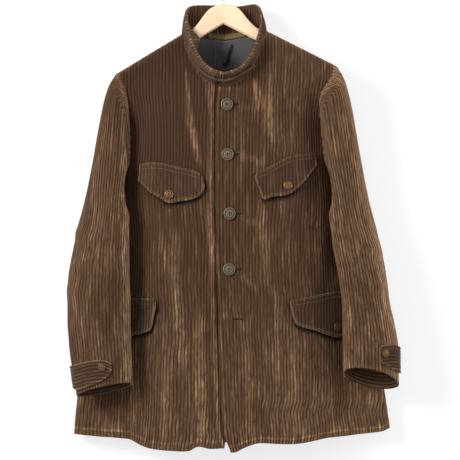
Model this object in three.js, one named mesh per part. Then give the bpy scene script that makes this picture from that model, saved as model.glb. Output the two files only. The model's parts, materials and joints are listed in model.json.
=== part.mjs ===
// Hunting jacket of wide-wale corduroy, buttoned and hung on a contoured wooden hanger.
// Units are millimetres and +Z is up. The front faces -Y, and the wearer's left is +X.
// The origin is where the hook's crown rests on its rail, so a height is written as a drop below it.
import * as THREE from 'three';

// Cloth
const CLOTH = 2.2;
const SEAM = 0.3;
const COLLAR_CLOTH = 4.4;
const LINING_CLOTH = 1;
const OVERLAP_LIFT = 3.4;

// Hanger and hook
const APEX_DROP = 72;
const ARM_SLOPE = Math.tan(THREE.MathUtils.degToRad(29.4));
const ARM_TILT = 0.05;
const ARM_SWEEP = 0.19;
const ARM_REACH = 190;
const CREST_SET_BACK = 5;
const CREST_REACH = 55;
const WOOD_HEIGHT = 24;
const WOOD_HALF_THICKNESS = 7;
const WOOD_BELOW_CLOTH = 4.4;
const WIRE_RADIUS = 1.75;
const HOOK_RADIUS = 19;

// Torso
const SHOULDER_ROUND = 12;
const FRONT_FALL = 150;
const BACK_FALL = 130;
const SIDE_FRONT_Y = 10;
const BACK_Y = 47;
const FOLD_RADIUS = 17;
const FOLD_Y = 27;
const ARMHOLE_DROP = 349;
const ARMHOLE_DEPTH = 53;
const NECK_CENTRE = 1;
const NECK_HALF = 81;
const VALLEY_REFERENCE = 188;

const RIGHT = { sign: -1, name: 'right' };
const LEFT = { sign: 1, name: 'left' };

// Half widths are counted from the centre. The valley is where a sleeve meets or covers the front.
const TORSO = [
  { drop: 60, centre: 1, half: 210, valleyRight: 206, valleyLeft: 203, bulge: 56 },
  { drop: 125, centre: 1, half: 210, valleyRight: 206, valleyLeft: 203, bulge: 56 },
  { drop: 194, centre: 8, half: 211, valleyRight: 206, valleyLeft: 200, bulge: 57 },
  { drop: 237, centre: 8, half: 212, valleyRight: 192, valleyLeft: 176, bulge: 58 },
  { drop: 290, centre: 9, half: 213, valleyRight: 188, valleyLeft: 177, bulge: 58 },
  { drop: 349, centre: 9, half: 214, valleyRight: 188, valleyLeft: 183, bulge: 58 },
  { drop: 402, centre: 10, half: 216, valleyRight: 189, valleyLeft: 187, bulge: 58 },
  { drop: 470, centre: 10, half: 227, valleyRight: 190, valleyLeft: 193, bulge: 57 },
  { drop: 600, centre: 12, half: 262, valleyRight: 190, valleyLeft: 208, bulge: 55 },
  { drop: 810, centre: 15, half: 294, valleyRight: 192, valleyLeft: 214, bulge: 51 },
  { drop: 915, centre: 18, half: 306, valleyRight: 198, valleyLeft: 220, bulge: 47 },
];

// Share of the front's bulge at a share of the way from the centre to the valley.
const CHEST = [
  { out: 0, share: 1 },
  { out: 0.35, share: 0.99 },
  { out: 0.55, share: 0.95 },
  { out: 0.7, share: 0.86 },
  { out: 0.82, share: 0.68 },
  { out: 0.92, share: 0.42 },
  { out: 1, share: 0.2 },
];

// How far the neckline lies under the line of the shoulders, in front and behind.
const NECKLINE = [
  { out: 0, front: 149.5, back: 62 },
  { out: 20, front: 134, back: 48.5 },
  { out: 34, front: 117, back: 39 },
  { out: 46, front: 99, back: 31 },
  { out: 62, front: 66, back: 18.5 },
  { out: 72, front: 34.5, back: 9 },
  { out: 78, front: 12, back: 3 },
  { out: 81, front: 0, back: 0 },
];

// Front edges: the left front laps over the right one and drifts sideways near the hem.
const EDGES = [
  { drop: 222, over: -10, under: 25 },
  { drop: 266, over: -13, under: 26 },
  { drop: 532, over: -13, under: 26 },
  { drop: 664, over: -8.5, under: 24 },
  { drop: 800, over: -3, under: 18 },
  { drop: 870, over: 1, under: 8 },
  { drop: 895, over: 6, under: 4 },
  { drop: 915, over: 14, under: 0 },
];

const HEM_RIGHT = [
  { x: -310, drop: 882 },
  { x: -285, drop: 883 },
  { x: -231, drop: 888 },
  { x: -180, drop: 892 },
  { x: -157, drop: 903 },
  { x: -138, drop: 909 },
  { x: -98, drop: 913 },
  { x: -66, drop: 913 },
  { x: -49, drop: 905 },
  { x: -26, drop: 909 },
  { x: 4, drop: 908 },
];
const HEM_LEFT = [
  { x: 0, drop: 916 },
  { x: 14, drop: 915 },
  { x: 30, drop: 909 },
  { x: 50, drop: 902 },
  { x: 68, drop: 898 },
  { x: 107, drop: 900 },
  { x: 144, drop: 899 },
  { x: 208, drop: 887 },
  { x: 301, drop: 878 },
  { x: 322, drop: 870 },
];
const HEM_BACK = [
  { x: -310, drop: 882 },
  { x: -285, drop: 883 },
  { x: -150, drop: 896 },
  { x: 10, drop: 900 },
  { x: 180, drop: 893 },
  { x: 301, drop: 878 },
  { x: 322, drop: 870 },
];

// Long soft folds of the fronts, from one end to the other, standing out by their height.
const FRONT_FOLDS = [
  { x0: -55, drop0: 215, x1: -38, drop1: 385, height: 4, width: 10 },
  { x0: -18, drop0: 235, x1: -22, drop1: 500, height: 3, width: 8 },
  { x0: -33, drop0: 430, x1: -24, drop1: 640, height: 5, width: 9 },
  { x0: -98, drop0: 450, x1: -62, drop1: 800, height: 5, width: 14 },
  { x0: -54, drop0: 640, x1: -44, drop1: 915, height: 6, width: 13 },
  { x0: -20, drop0: 640, x1: -8, drop1: 860, height: -5, width: 12 },
  { x0: -150, drop0: 470, x1: -140, drop1: 860, height: -4, width: 16 },
  { x0: 85, drop0: 205, x1: 92, drop1: 345, height: 4, width: 12 },
  { x0: 70, drop0: 430, x1: 96, drop1: 640, height: 4, width: 11 },
  { x0: 178, drop0: 390, x1: 186, drop1: 600, height: 5, width: 15 },
  { x0: 38, drop0: 600, x1: 84, drop1: 800, height: -5, width: 15 },
  { x0: 74, drop0: 830, x1: 70, drop1: 890, height: -7, width: 14 },
  { x0: 125, drop0: 660, x1: 130, drop1: 900, height: 5, width: 18 },
];
const BACK_FOLDS = [
  { x0: -120, drop0: 240, x1: -150, drop1: 560, height: 5, width: 22 },
  { x0: -60, drop0: 420, x1: -78, drop1: 890, height: 6, width: 20 },
  { x0: 30, drop0: 300, x1: 22, drop1: 900, height: -5, width: 24 },
  { x0: 118, drop0: 230, x1: 150, drop1: 520, height: 5, width: 20 },
  { x0: 110, drop0: 480, x1: 128, drop1: 880, height: 6, width: 22 },
  { x0: 205, drop0: 560, x1: 225, drop1: 880, height: -5, width: 20 },
];

// Sleeve rings from just under the armhole to the cuff. Inner and outer are the ends of the
// ring's long axis, depth is half of its short one and rise is how much the front is lifted.
const SLEEVES = {
  right: [
    { along: 0, inner: -180, innerDrop: 470, innerY: -46, outer: -274, outerDrop: 474, outerY: -10, depth: 38, rise: 0 },
    { along: 0.25, inner: -179, innerDrop: 552, innerY: -45, outer: -290, outerDrop: 558, outerY: -22, depth: 38, rise: 1 },
    { along: 0.5, inner: -177, innerDrop: 632, innerY: -45, outer: -296, outerDrop: 641, outerY: -30, depth: 37, rise: 2 },
    { along: 0.75, inner: -175, innerDrop: 710, innerY: -45, outer: -291, outerDrop: 724, outerY: -36, depth: 35, rise: 4 },
    { along: 1, inner: -173, innerDrop: 785, innerY: -45, outer: -279, outerDrop: 808, outerY: -38, depth: 31, rise: 8 },
  ],
  left: [
    { along: 0, inner: 201, innerDrop: 470, innerY: -46, outer: 284, outerDrop: 466, outerY: -10, depth: 39, rise: 0 },
    { along: 0.25, inner: 211, innerDrop: 545, innerY: -46, outer: 303, outerDrop: 548, outerY: -22, depth: 40, rise: 3 },
    { along: 0.5, inner: 224, innerDrop: 618, innerY: -46, outer: 315, outerDrop: 628, outerY: -30, depth: 39, rise: 7 },
    { along: 0.75, inner: 226, innerDrop: 690, innerY: -46, outer: 330, outerDrop: 706, outerY: -36, depth: 37, rise: 12 },
    { along: 1, inner: 227, innerDrop: 764, innerY: -46, outer: 333, outerDrop: 786, outerY: -38, depth: 33, rise: 18 },
  ],
};

// How the sleeve leaves the armhole: the share of its girth where each place of the seam goes,
// and the run of the cloth there, outwards, forwards and down.
const ARMHOLE_FRONT = [
  { along: 0, girth: 0, out: 178, forward: 10, down: 110, fade: 3 },
  { along: 0.2, girth: 0.3, out: 80, forward: 120, down: 110, fade: 2.4 },
  { along: 0.42, girth: 0.44, out: 16, forward: 190, down: 110, fade: 2 },
  { along: 0.7, girth: 0.62, out: 8, forward: 200, down: 70, fade: 2 },
  { along: 0.86, girth: 0.86, out: 30, forward: 140, down: 40, fade: 2 },
  { along: 0.94, girth: 1, out: 60, forward: 90, down: 40, fade: 2 },
  { along: 1, girth: 1.12, out: 88, forward: 20, down: 40, fade: 2 },
];
const ARMHOLE_BACK = [
  { along: 0, girth: 2, out: 178, forward: 10, down: 110, fade: 3 },
  { along: 0.2, girth: 1.74, out: 130, forward: -30, down: 120, fade: 2.4 },
  { along: 0.42, girth: 1.6, out: 130, forward: -15, down: 130, fade: 2 },
  { along: 0.7, girth: 1.46, out: 180, forward: -5, down: 90, fade: 2 },
  { along: 0.86, girth: 1.33, out: 200, forward: 0, down: 60, fade: 2 },
  { along: 0.94, girth: 1.22, out: 150, forward: 10, down: 50, fade: 2 },
  { along: 1, girth: 1.12, out: 88, forward: 20, down: 40, fade: 2 },
];
const ARMHOLE_RUN_DOWN = 120;

// Soft folds across and along the sleeves, as a share of the girth and of the length.
const SLEEVE_FOLDS = [
  { girth: 0.42, along: 0.06, height: -5, girthWidth: 0.12, alongWidth: 0.1 },
  { girth: 0.3, along: 0.38, height: 5, girthWidth: 0.2, alongWidth: 0.12 },
  { girth: 0.62, along: 0.3, height: -5, girthWidth: 0.16, alongWidth: 0.08 },
  { girth: 0.55, along: 0.62, height: 4, girthWidth: 0.16, alongWidth: 0.14 },
  { girth: -0.4, along: 0.5, height: 4, girthWidth: 0.2, alongWidth: 0.16 },
];

// Upper edge of the collar, from the centre front at 0 to the centre back at 1.
const COLLAR_EDGE = [
  { along: 0, right: 1, left: 1, y: -85, dropRight: 200.5, dropLeft: 200.5 },
  { along: 0.1, right: 16, left: 15, y: -84, dropRight: 197, dropLeft: 197 },
  { along: 0.2, right: 33, left: 32, y: -79, dropRight: 187, dropLeft: 189 },
  { along: 0.3, right: 48, left: 48, y: -70, dropRight: 169, dropLeft: 173 },
  { along: 0.4, right: 61, left: 61, y: -56, dropRight: 146, dropLeft: 150 },
  { along: 0.5, right: 71, left: 70, y: -35, dropRight: 116, dropLeft: 120 },
  { along: 0.56, right: 75, left: 73, y: -18, dropRight: 95, dropLeft: 98 },
  { along: 0.62, right: 74, left: 71, y: 0, dropRight: 78, dropLeft: 78 },
  { along: 0.7, right: 67, left: 66, y: 16, dropRight: 70, dropLeft: 67 },
  { along: 0.8, right: 51, left: 53, y: 30, dropRight: 66.5, dropLeft: 66 },
  { along: 0.9, right: 26, left: 27, y: 38, dropRight: 66, dropLeft: 69 },
  { along: 1, right: 0, left: 0, y: 40, dropRight: 67, dropLeft: 67 },
];
const COLLAR_BELLY = 9;
const STRAP = { from: -46, to: 55, low: 0.16, high: 0.6 };
const LABEL = { from: -30, to: 43, low: 0.04, high: 0.19, thickness: 0.6 };

// Pocket flaps: the drop of the upper and lower edge across the width.
const FLAPS = {
  chest_flap_right: [
    { x: -157, top: 368, bottom: 398 },
    { x: -140, top: 365, bottom: 418 },
    { x: -123, top: 365, bottom: 430 },
    { x: -103, top: 369, bottom: 442 },
    { x: -83, top: 374, bottom: 439 },
    { x: -65, top: 378, bottom: 436 },
    { x: -50, top: 383, bottom: 431 },
    { x: -41, top: 389, bottom: 421 },
    { x: -37.5, top: 397, bottom: 410 },
  ],
  chest_flap_left: [
    { x: 62, top: 385, bottom: 392 },
    { x: 70, top: 381, bottom: 416 },
    { x: 75, top: 379, bottom: 434 },
    { x: 90, top: 371, bottom: 430 },
    { x: 121, top: 356.5, bottom: 426 },
    { x: 140, top: 352, bottom: 413 },
    { x: 157, top: 351.5, bottom: 392 },
    { x: 169, top: 352, bottom: 378 },
    { x: 174, top: 359, bottom: 371 },
  ],
  hip_flap_right: [
    { x: -238, top: 628, bottom: 668 },
    { x: -232, top: 626, bottom: 680 },
    { x: -208, top: 624, bottom: 690 },
    { x: -185, top: 623.5, bottom: 697 },
    { x: -167, top: 623, bottom: 693 },
    { x: -142, top: 623, bottom: 686 },
    { x: -134, top: 623, bottom: 679 },
    { x: -128, top: 624, bottom: 645 },
  ],
  hip_flap_left: [
    { x: 128, top: 626, bottom: 634 },
    { x: 133, top: 625, bottom: 656 },
    { x: 138, top: 624, bottom: 672 },
    { x: 175, top: 617.5, bottom: 685 },
    { x: 213, top: 610, bottom: 698 },
    { x: 232, top: 611, bottom: 692 },
    { x: 250, top: 613, bottom: 680 },
    { x: 255, top: 615, bottom: 664 },
  ],
};
const FLAP_STANDS_OFF = 3;
const FLAP_CLEARANCE = 1.1;
const FLAP_CLOTH = 2.4;

// Wrist tabs, across the girth of the sleeve.
const CUFF_TABS = {
  right: [
    { girth: -0.12, top: 754, bottom: 788 },
    { girth: 0.04, top: 751, bottom: 794 },
    { girth: 0.18, top: 748, bottom: 796 },
    { girth: 0.34, top: 742, bottom: 788 },
    { girth: 0.48, top: 739, bottom: 779 },
    { girth: 0.56, top: 741, bottom: 768 },
    { girth: 0.6, top: 746, bottom: 759 },
  ],
  left: [
    { girth: -0.16, top: 720, bottom: 762 },
    { girth: -0.06, top: 718, bottom: 765 },
    { girth: 0.06, top: 715, bottom: 764 },
    { girth: 0.2, top: 711, bottom: 759 },
    { girth: 0.32, top: 711, bottom: 750 },
    { girth: 0.38, top: 713, bottom: 745 },
    { girth: 0.41, top: 719, bottom: 735 },
  ],
};

// Buttons: domed, on the fronts, the flaps and the wrist tabs.
const BUTTON_PROFILE = [
  { out: 0.52, up: 0 },
  { out: 0.94, up: 0.08 },
  { out: 1, up: 0.16 },
  { out: 0.92, up: 0.24 },
  { out: 0.6, up: 0.3 },
];
const FRONT_BUTTONS = [
  { x: 6.3, drop: 255 },
  { x: 7.8, drop: 350 },
  { x: 11.4, drop: 462 },
  { x: 10.5, drop: 568 },
];
const FRONT_BUTTON_RADIUS = 11.5;
const FLAP_BUTTONS = [
  { name: 'chest_button_right', flap: 'chest_flap_right', x: -103, drop: 426 },
  { name: 'chest_button_left', flap: 'chest_flap_left', x: 121.5, drop: 409 },
  { name: 'hip_button_right', flap: 'hip_flap_right', x: -185, drop: 680 },
  { name: 'hip_button_left', flap: 'hip_flap_left', x: 212, drop: 678 },
];
const FLAP_BUTTON_RADIUS = 8.5;
const CUFF_BUTTONS = {
  right: { girth: 0.5, drop: 752 },
  left: { girth: 0.34, drop: 727 },
};
const CUFF_BUTTON_RADIUS = 7;
const BUTTON_SIDES = 16;

// Centre line of the torn loop of tape that hangs over the lining.
const HANG_LOOP = [
  { x: 16, drop: 139 },
  { x: 12, drop: 150 },
  { x: 8.5, drop: 161 },
  { x: 9, drop: 171 },
  { x: 5, drop: 176.5 },
  { x: -1, drop: 176 },
];
const TAPE_WIDTH = 5;

// Rise of the wood's crest over the straight line of the arms.
const WOOD_CREST = [
  { out: 0, rise: 13.2 },
  { out: 12, rise: 19 },
  { out: 22, rise: 21 },
  { out: 31, rise: 19.5 },
  { out: 40, rise: 13.5 },
  { out: 50, rise: 6 },
  { out: 62, rise: 1.5 },
  { out: 75, rise: 0 },
  { out: 200, rise: 0 },
];

// A smooth curve through a table's rows: its value at any key between the first and last row.
function curve(rows, key, value) {
  const knots = rows.map((row) => row[key]);
  const values = rows.map((row) => row[value]);
  const last = knots.length - 1;
  const slopes = values.map((_, i) => {
    const before = Math.max(i - 1, 0);
    const after = Math.min(i + 1, last);
    return (values[after] - values[before]) / (knots[after] - knots[before]);
  });
  return (at) => {
    const key0 = THREE.MathUtils.clamp(at, knots[0], knots[last]);
    let i = 0;
    while (i < last - 1 && key0 > knots[i + 1]) i += 1;
    const span = knots[i + 1] - knots[i];
    const t = (key0 - knots[i]) / span;
    const rise = (3 - 2 * t) * t * t;
    const leave = t * (1 - t) * (1 - t) * span * slopes[i];
    const arrive = -t * t * (1 - t) * span * slopes[i + 1];
    return values[i] + (values[i + 1] - values[i]) * rise + leave + arrive;
  };
}

const centreAt = curve(TORSO, 'drop', 'centre');
const halfAt = curve(TORSO, 'drop', 'half');
const bulgeAt = curve(TORSO, 'drop', 'bulge');
const valleyAt = { right: curve(TORSO, 'drop', 'valleyRight'), left: curve(TORSO, 'drop', 'valleyLeft') };
const chestAt = curve(CHEST, 'out', 'share');
const neckFrontAt = curve(NECKLINE, 'out', 'front');
const neckBackAt = curve(NECKLINE, 'out', 'back');
const overEdgeAt = curve(EDGES, 'drop', 'over');
const underEdgeAt = curve(EDGES, 'drop', 'under');
const hemRightAt = curve(HEM_RIGHT, 'x', 'drop');
const hemLeftAt = curve(HEM_LEFT, 'x', 'drop');
const hemBackAt = curve(HEM_BACK, 'x', 'drop');

const { lerp, clamp, smoothstep } = THREE.MathUtils;
const sideOf = (x, drop) => (x < centreAt(drop) ? RIGHT : LEFT);
const shoulderDrop = (x) => APEX_DROP + ARM_SLOPE * Math.abs(x) - ARM_TILT * x;
const ridgeY = (x) => -ARM_SWEEP * (Math.hypot(x, 35) - 35);

function roundOver(below) {
  const left = 1 - clamp(below / SHOULDER_ROUND, 0, 1);
  return SHOULDER_ROUND * Math.sqrt(1 - left * left);
}

// How far a list of folds stands out at a place. Each one fades towards its ends.
function foldRelief(folds, x, drop) {
  return folds.reduce((sum, fold) => {
    const along = (drop - fold.drop0) / (fold.drop1 - fold.drop0);
    if (along <= 0 || along >= 1) return sum;
    const away = (x - lerp(fold.x0, fold.x1, along)) / fold.width;
    return sum + fold.height * Math.exp(-away * away) * Math.sin(Math.PI * along) ** 0.7;
  }, 0);
}

// Outer surface of the fronts, as a depth in Y at a place seen from the front.
function frontY(x, drop) {
  const side = sideOf(x, drop);
  const out = Math.abs(x - centreAt(drop));
  const valley = valleyAt[side.name](drop);
  const edge = halfAt(drop) - FOLD_RADIUS;
  let share = chestAt(out / valley);
  if (out > valley) share = 0.2 * (1 - clamp((out - valley) / Math.max(edge - valley, 1), 0, 1)) ** 2;
  const hung = SIDE_FRONT_Y - bulgeAt(drop) * share;
  const below = shoulderDrop(x) >= drop ? 0 : drop - shoulderDrop(x);
  const draped = ridgeY(x) - roundOver(below);
  return lerp(draped, hung, smoothstep(below, 0, FRONT_FALL)) - foldRelief(FRONT_FOLDS, x, drop);
}

function backY(x, drop) {
  const out = Math.abs(x - centreAt(drop));
  const edge = halfAt(drop) - FOLD_RADIUS;
  const hung = BACK_Y - 3 * Math.min(out / edge, 1) ** 2;
  const below = Math.max(drop - shoulderDrop(x), 0);
  const draped = ridgeY(x) + roundOver(below);
  const inside = smoothstep(edge - out, 0, 40);
  return lerp(draped, hung, smoothstep(below, 0, BACK_FALL)) + inside * foldRelief(BACK_FOLDS, x, drop) * 0.6;
}

// The left front stands proud of the right one where it laps over it.
const overLift = (x) => OVERLAP_LIFT * (1 - smoothstep(x, 50, 110));

function surfaceNormal(surfaceY, x, drop) {
  const step = 2;
  const slopeX = (surfaceY(x + step, drop) - surfaceY(x - step, drop)) / (2 * step);
  const slopeZ = (surfaceY(x, drop - step) - surfaceY(x, drop + step)) / (2 * step);
  return new THREE.Vector3(slopeX, -1, slopeZ).normalize();
}

// A sheet of cloth is a list of points and of four-cornered cells between them. Grids of points
// are added column by column, and points at the same place are one point.
class Sheet {
  constructor() {
    this.points = [];
    this.cells = [];
    this.known = new Map();
  }

  point(place) {
    const key = place.toArray().map((number) => Math.round(number * 1000)).join();
    if (!this.known.has(key)) {
      this.known.set(key, this.points.length);
      this.points.push(place.clone());
    }
    return this.known.get(key);
  }

  addGrid(columns, closed = false) {
    const ids = columns.map((column) => column.map((place) => this.point(place)));
    const count = closed ? ids.length : ids.length - 1;
    for (let i = 0; i < count; i += 1) {
      const here = ids[i];
      const next = ids[(i + 1) % ids.length];
      for (let j = 0; j < here.length - 1; j += 1) {
        this.cells.push([here[j], next[j], next[j + 1], here[j + 1]]);
      }
    }
  }

  triangles() {
    return this.cells.flatMap(([a, b, c, d]) => [[a, b, c], [a, c, d]])
      .filter(([a, b, c]) => a !== b && b !== c && a !== c);
  }

  normals() {
    const sums = this.points.map(() => new THREE.Vector3());
    const side = new THREE.Vector3();
    const other = new THREE.Vector3();
    this.triangles().forEach(([a, b, c]) => {
      side.subVectors(this.points[b], this.points[a]);
      other.subVectors(this.points[c], this.points[a]);
      side.cross(other);
      [a, b, c].forEach((id) => sums[id].add(side));
    });
    return sums.map((sum) => sum.normalize());
  }

  // A closed wall between two layers: the sheet moved along its normals by the two distances.
  wall(outer, inner, trim = (place) => place) {
    const normals = this.normals();
    const layer = (distance) => this.points.map((place, i) => trim(place.clone().addScaledVector(normals[i], distance)));
    const corners = [...layer(outer), ...layer(inner)];
    const below = this.points.length;
    const faces = [];
    const edges = new Map();
    this.triangles().forEach(([a, b, c]) => {
      faces.push([a, b, c], [c + below, b + below, a + below]);
      [[a, b], [b, c], [c, a]].forEach(([from, to]) => edges.set(`${from},${to}`, [from, to]));
    });
    edges.forEach(([from, to]) => {
      if (edges.has(`${to},${from}`)) return;
      faces.push([from, from + below, to + below], [from, to + below, to]);
    });
    const geometry = new THREE.BufferGeometry();
    geometry.setAttribute('position', new THREE.Float32BufferAttribute(corners.flatMap((p) => p.toArray()), 3));
    geometry.setIndex(faces.flat());
    return geometry;
  }
}

const corduroy = () => new THREE.MeshStandardMaterial({ color: 0x5f4630, roughness: 0.95, metalness: 0 });
const lining = () => new THREE.MeshStandardMaterial({ color: 0x3a3838, roughness: 0.9, metalness: 0 });
const tape = () => new THREE.MeshStandardMaterial({ color: 0x0d0c0c, roughness: 0.85, metalness: 0 });
const labelCloth = () => new THREE.MeshStandardMaterial({ color: 0x6f6335, roughness: 0.8, metalness: 0 });
const pewter = () => new THREE.MeshStandardMaterial({ color: 0x6d6656, roughness: 0.45, metalness: 0.85 });
const brass = () => new THREE.MeshStandardMaterial({ color: 0x9a7434, roughness: 0.4, metalness: 0.9 });
const beech = () => new THREE.MeshStandardMaterial({ color: 0xf0d3ad, roughness: 0.5, metalness: 0 });
const steel = () => new THREE.MeshStandardMaterial({ color: 0x8d8f92, roughness: 0.3, metalness: 0.95 });

const group = new THREE.Group();

function add(name, geometry, material) {
  const mesh = new THREE.Mesh(geometry, material);
  mesh.name = name;
  group.add(mesh);
  return mesh;
}

// Columns of a torso panel on one side of the body. Flat columns keep their share of the way to
// the armhole, so the last one runs along its seam. The rest turn round the fold at the side.
const SHARED_FROM = 40;
const NECK_COLUMNS = [56, 65, 70.5, 73.3].map((out) => ({ kind: 'flat', top: 'neck', share: out / VALLEY_REFERENCE }));
const SHOULDER_COLUMNS = [75, 89, 104, 120, 136, 152, 168, 179, 188].map((out) => (
  { kind: 'flat', top: 'shoulder', share: out / VALLEY_REFERENCE }));
const SIDE_COLUMNS = [0.33, 0.67, 1].map((share) => ({ kind: 'side', top: 'armhole', share }));
const FOLD_COLUMNS = [30, 60, 90].map((degrees) => (
  { kind: 'fold', top: 'armhole', angle: THREE.MathUtils.degToRad(degrees) }));
const WIDE_COLUMNS = [
  { kind: 'flat', top: 'neck', share: SHARED_FROM / VALLEY_REFERENCE },
  ...NECK_COLUMNS, ...SHOULDER_COLUMNS, ...SIDE_COLUMNS, ...FOLD_COLUMNS,
];

function panelPoint(column, side, drop, panel) {
  const centre = centreAt(drop);
  const valley = valleyAt[side.name](drop);
  const edge = halfAt(drop) - FOLD_RADIUS;
  let out = column.share * valley;
  if (column.kind === 'edge') {
    const start = side.sign * (panel.edgeAt(drop) - centre);
    out = lerp(start, (SHARED_FROM / VALLEY_REFERENCE) * valley, column.share);
  }
  if (column.kind === 'side') out = lerp(valley, edge, column.share);
  if (column.kind === 'fold') {
    const x = centre + side.sign * (edge + FOLD_RADIUS * Math.sin(column.angle));
    return new THREE.Vector3(x, FOLD_Y + panel.facing * FOLD_RADIUS * Math.cos(column.angle), -drop);
  }
  const x = centre + side.sign * out;
  return new THREE.Vector3(x, panel.surfaceY(x, drop), -drop);
}

// Drop of a column's upper end: on the neckline, the shoulder seam or the lower armhole.
function columnTop(column, side, panel) {
  if (column.top === 'armhole') {
    const edge = halfAt(ARMHOLE_DROP) - FOLD_RADIUS;
    const flat = edge - valleyAt[side.name](ARMHOLE_DROP);
    const whole = flat + FOLD_RADIUS * Math.PI / 2;
    const reached = column.kind === 'side' ? flat * column.share : flat + FOLD_RADIUS * column.angle;
    return ARMHOLE_DROP + ARMHOLE_DEPTH * Math.sin(Math.acos(1 - reached / whole));
  }
  let drop = 180;
  for (let pass = 0; pass < 12; pass += 1) {
    const { x } = panelPoint(column, side, drop, panel);
    const out = Math.min(Math.abs(x - NECK_CENTRE), NECK_HALF);
    drop = shoulderDrop(x) + (column.top === 'neck' ? panel.neckAt(out) : 0);
  }
  return drop;
}

const LOWER_ROWS = 9;
const UPPER_ROWS = 9;

function panelColumns(columns, side, panel) {
  return columns.map((column) => {
    const top = columnTop(column, side, panel);
    const middle = column.top === 'armhole' ? top : ARMHOLE_DROP;
    const hem = panel.hemAt(panelPoint(column, side, 880, panel).x);
    const lower = [];
    for (let j = 0; j <= LOWER_ROWS; j += 1) {
      lower.push(panelPoint(column, side, lerp(hem, middle, j / LOWER_ROWS), panel));
    }
    const upper = [];
    for (let j = 0; j <= UPPER_ROWS && column.top !== 'armhole'; j += 1) {
      const share = 1 - (1 - j / UPPER_ROWS) ** 1.8;
      upper.push(panelPoint(column, side, lerp(ARMHOLE_DROP, top, share), panel));
    }
    return { column, lower, upper };
  });
}

function panelSheet(columns) {
  const sheet = new Sheet();
  sheet.addGrid(columns.map(({ lower }) => lower));
  sheet.addGrid(columns.filter(({ upper }) => upper.length).map(({ upper }) => upper));
  return sheet;
}

// The fronts and the back part at the ridge of the shoulders and halfway round the side folds.
function trimTo(facing) {
  return (place) => {
    const drop = -place.z;
    const onShoulder = drop - shoulderDrop(place.x) < SHOULDER_ROUND;
    if (!onShoulder && drop < ARMHOLE_DROP) return place;
    const plane = (onShoulder ? ridgeY(place.x) : FOLD_Y) + facing * SEAM / 2;
    place.y = facing < 0 ? Math.min(place.y, plane) : Math.max(place.y, plane);
    return place;
  };
}

function buildTorso() {
  const edgeColumns = [0, 0.2, 0.4, 0.6, 0.8].map((share) => ({ kind: 'edge', top: 'neck', share }));
  const backColumns = [0, 14, 28].map((out) => ({ kind: 'flat', top: 'neck', share: out / VALLEY_REFERENCE }));
  const fronts = {
    right: { facing: -1, surfaceY: frontY, neckAt: neckFrontAt, hemAt: hemRightAt, edgeAt: underEdgeAt },
    left: {
      facing: -1,
      surfaceY: (x, drop) => frontY(x, drop) - overLift(x),
      neckAt: neckFrontAt,
      hemAt: hemLeftAt,
      edgeAt: overEdgeAt,
    },
  };
  const back = { facing: 1, surfaceY: backY, neckAt: neckBackAt, hemAt: hemBackAt };
  const made = {};
  [RIGHT, LEFT].forEach((side) => {
    const columns = panelColumns([...edgeColumns, ...WIDE_COLUMNS], side, fronts[side.name]);
    made[side.name] = { front: columns, back: panelColumns([...backColumns, ...WIDE_COLUMNS], side, back) };
    const ordered = side === LEFT ? columns : [...columns].reverse();
    add(`front_${side.name}`, panelSheet(ordered).wall(0, -CLOTH, trimTo(-1)), corduroy());
  });
  const acrossBack = [...made.left.back].reverse().concat(made.right.back.slice(1));
  add('back', panelSheet(acrossBack).wall(0, -CLOTH, trimTo(1)), corduroy());
  return made;
}

const torso = buildTorso();

// The seam of an armhole: down the front from the shoulder, round the side fold and up the back.
function armholeHalf(columns) {
  const seam = columns.findLast(({ upper }) => upper.length);
  const under = columns.filter(({ upper }) => !upper.length).map(({ lower }) => lower.at(-1));
  const places = [...seam.upper].reverse().concat(under);
  const lengths = [0];
  places.slice(1).forEach((place, i) => lengths.push(lengths[i] + place.distanceTo(places[i])));
  return places.map((place, i) => ({ place, along: lengths[i] / lengths.at(-1) }));
}

function ringPoint(rows, girth, along) {
  const value = (key) => curve(rows, 'along', key)(along);
  const angle = Math.PI * girth;
  const inner = new THREE.Vector3(value('inner'), value('innerY'), -value('innerDrop'));
  const outer = new THREE.Vector3(value('outer'), value('outerY'), -value('outerDrop'));
  const place = inner.clone().lerp(outer, (1 + Math.cos(angle)) / 2);
  place.y -= value('depth') * Math.sin(angle);
  place.z += value('rise') * Math.sin(angle);
  return place;
}

function sleeveRelief(girth, along) {
  return SLEEVE_FOLDS.reduce((sum, fold) => {
    let away = girth - fold.girth;
    away -= 2 * Math.round(away / 2);
    const across = away / fold.girthWidth;
    const down = (along - fold.along) / fold.alongWidth;
    return sum + fold.height * Math.exp(-across * across - down * down);
  }, 0);
}

// A place on the sleeve under its armhole, with the folds standing away from the arm's axis.
function sleevePoint(rows, girth, along) {
  const place = ringPoint(rows, girth, along);
  const axis = ringPoint(rows, 0, along).lerp(ringPoint(rows, 1, along), 0.5);
  const out = place.clone().sub(axis).setZ(0).normalize();
  return place.addScaledVector(out, sleeveRelief(girth, along));
}

const HEAD_ROWS = 6;
const ARM_ROWS = 8;

function sleeveColumn(rows, side, start, leave) {
  const out = new THREE.Vector3(side.sign * leave.out, -leave.forward, -leave.down);
  const from = start.clone().addScaledVector(out.clone().normalize(), SEAM * 4);
  const to = sleevePoint(rows, leave.girth, 0);
  const run = sleevePoint(rows, leave.girth, 0.04).sub(to).normalize().multiplyScalar(
    Math.min(ARMHOLE_RUN_DOWN, from.distanceTo(to) * 0.9),
  );
  const column = [];
  for (let j = 0; j <= ARM_ROWS; j += 1) column.push(sleevePoint(rows, leave.girth, 1 - j / ARM_ROWS));
  for (let j = 1; j <= HEAD_ROWS; j += 1) {
    const t = 1 - j / HEAD_ROWS;
    const rise = (3 - 2 * t) * t * t;
    const place = from.clone().lerp(to, rise);
    place.addScaledVector(out, t * (1 - t) ** leave.fade);
    place.addScaledVector(run, -t * t * (1 - t));
    column.push(place);
  }
  return column;
}

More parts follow.
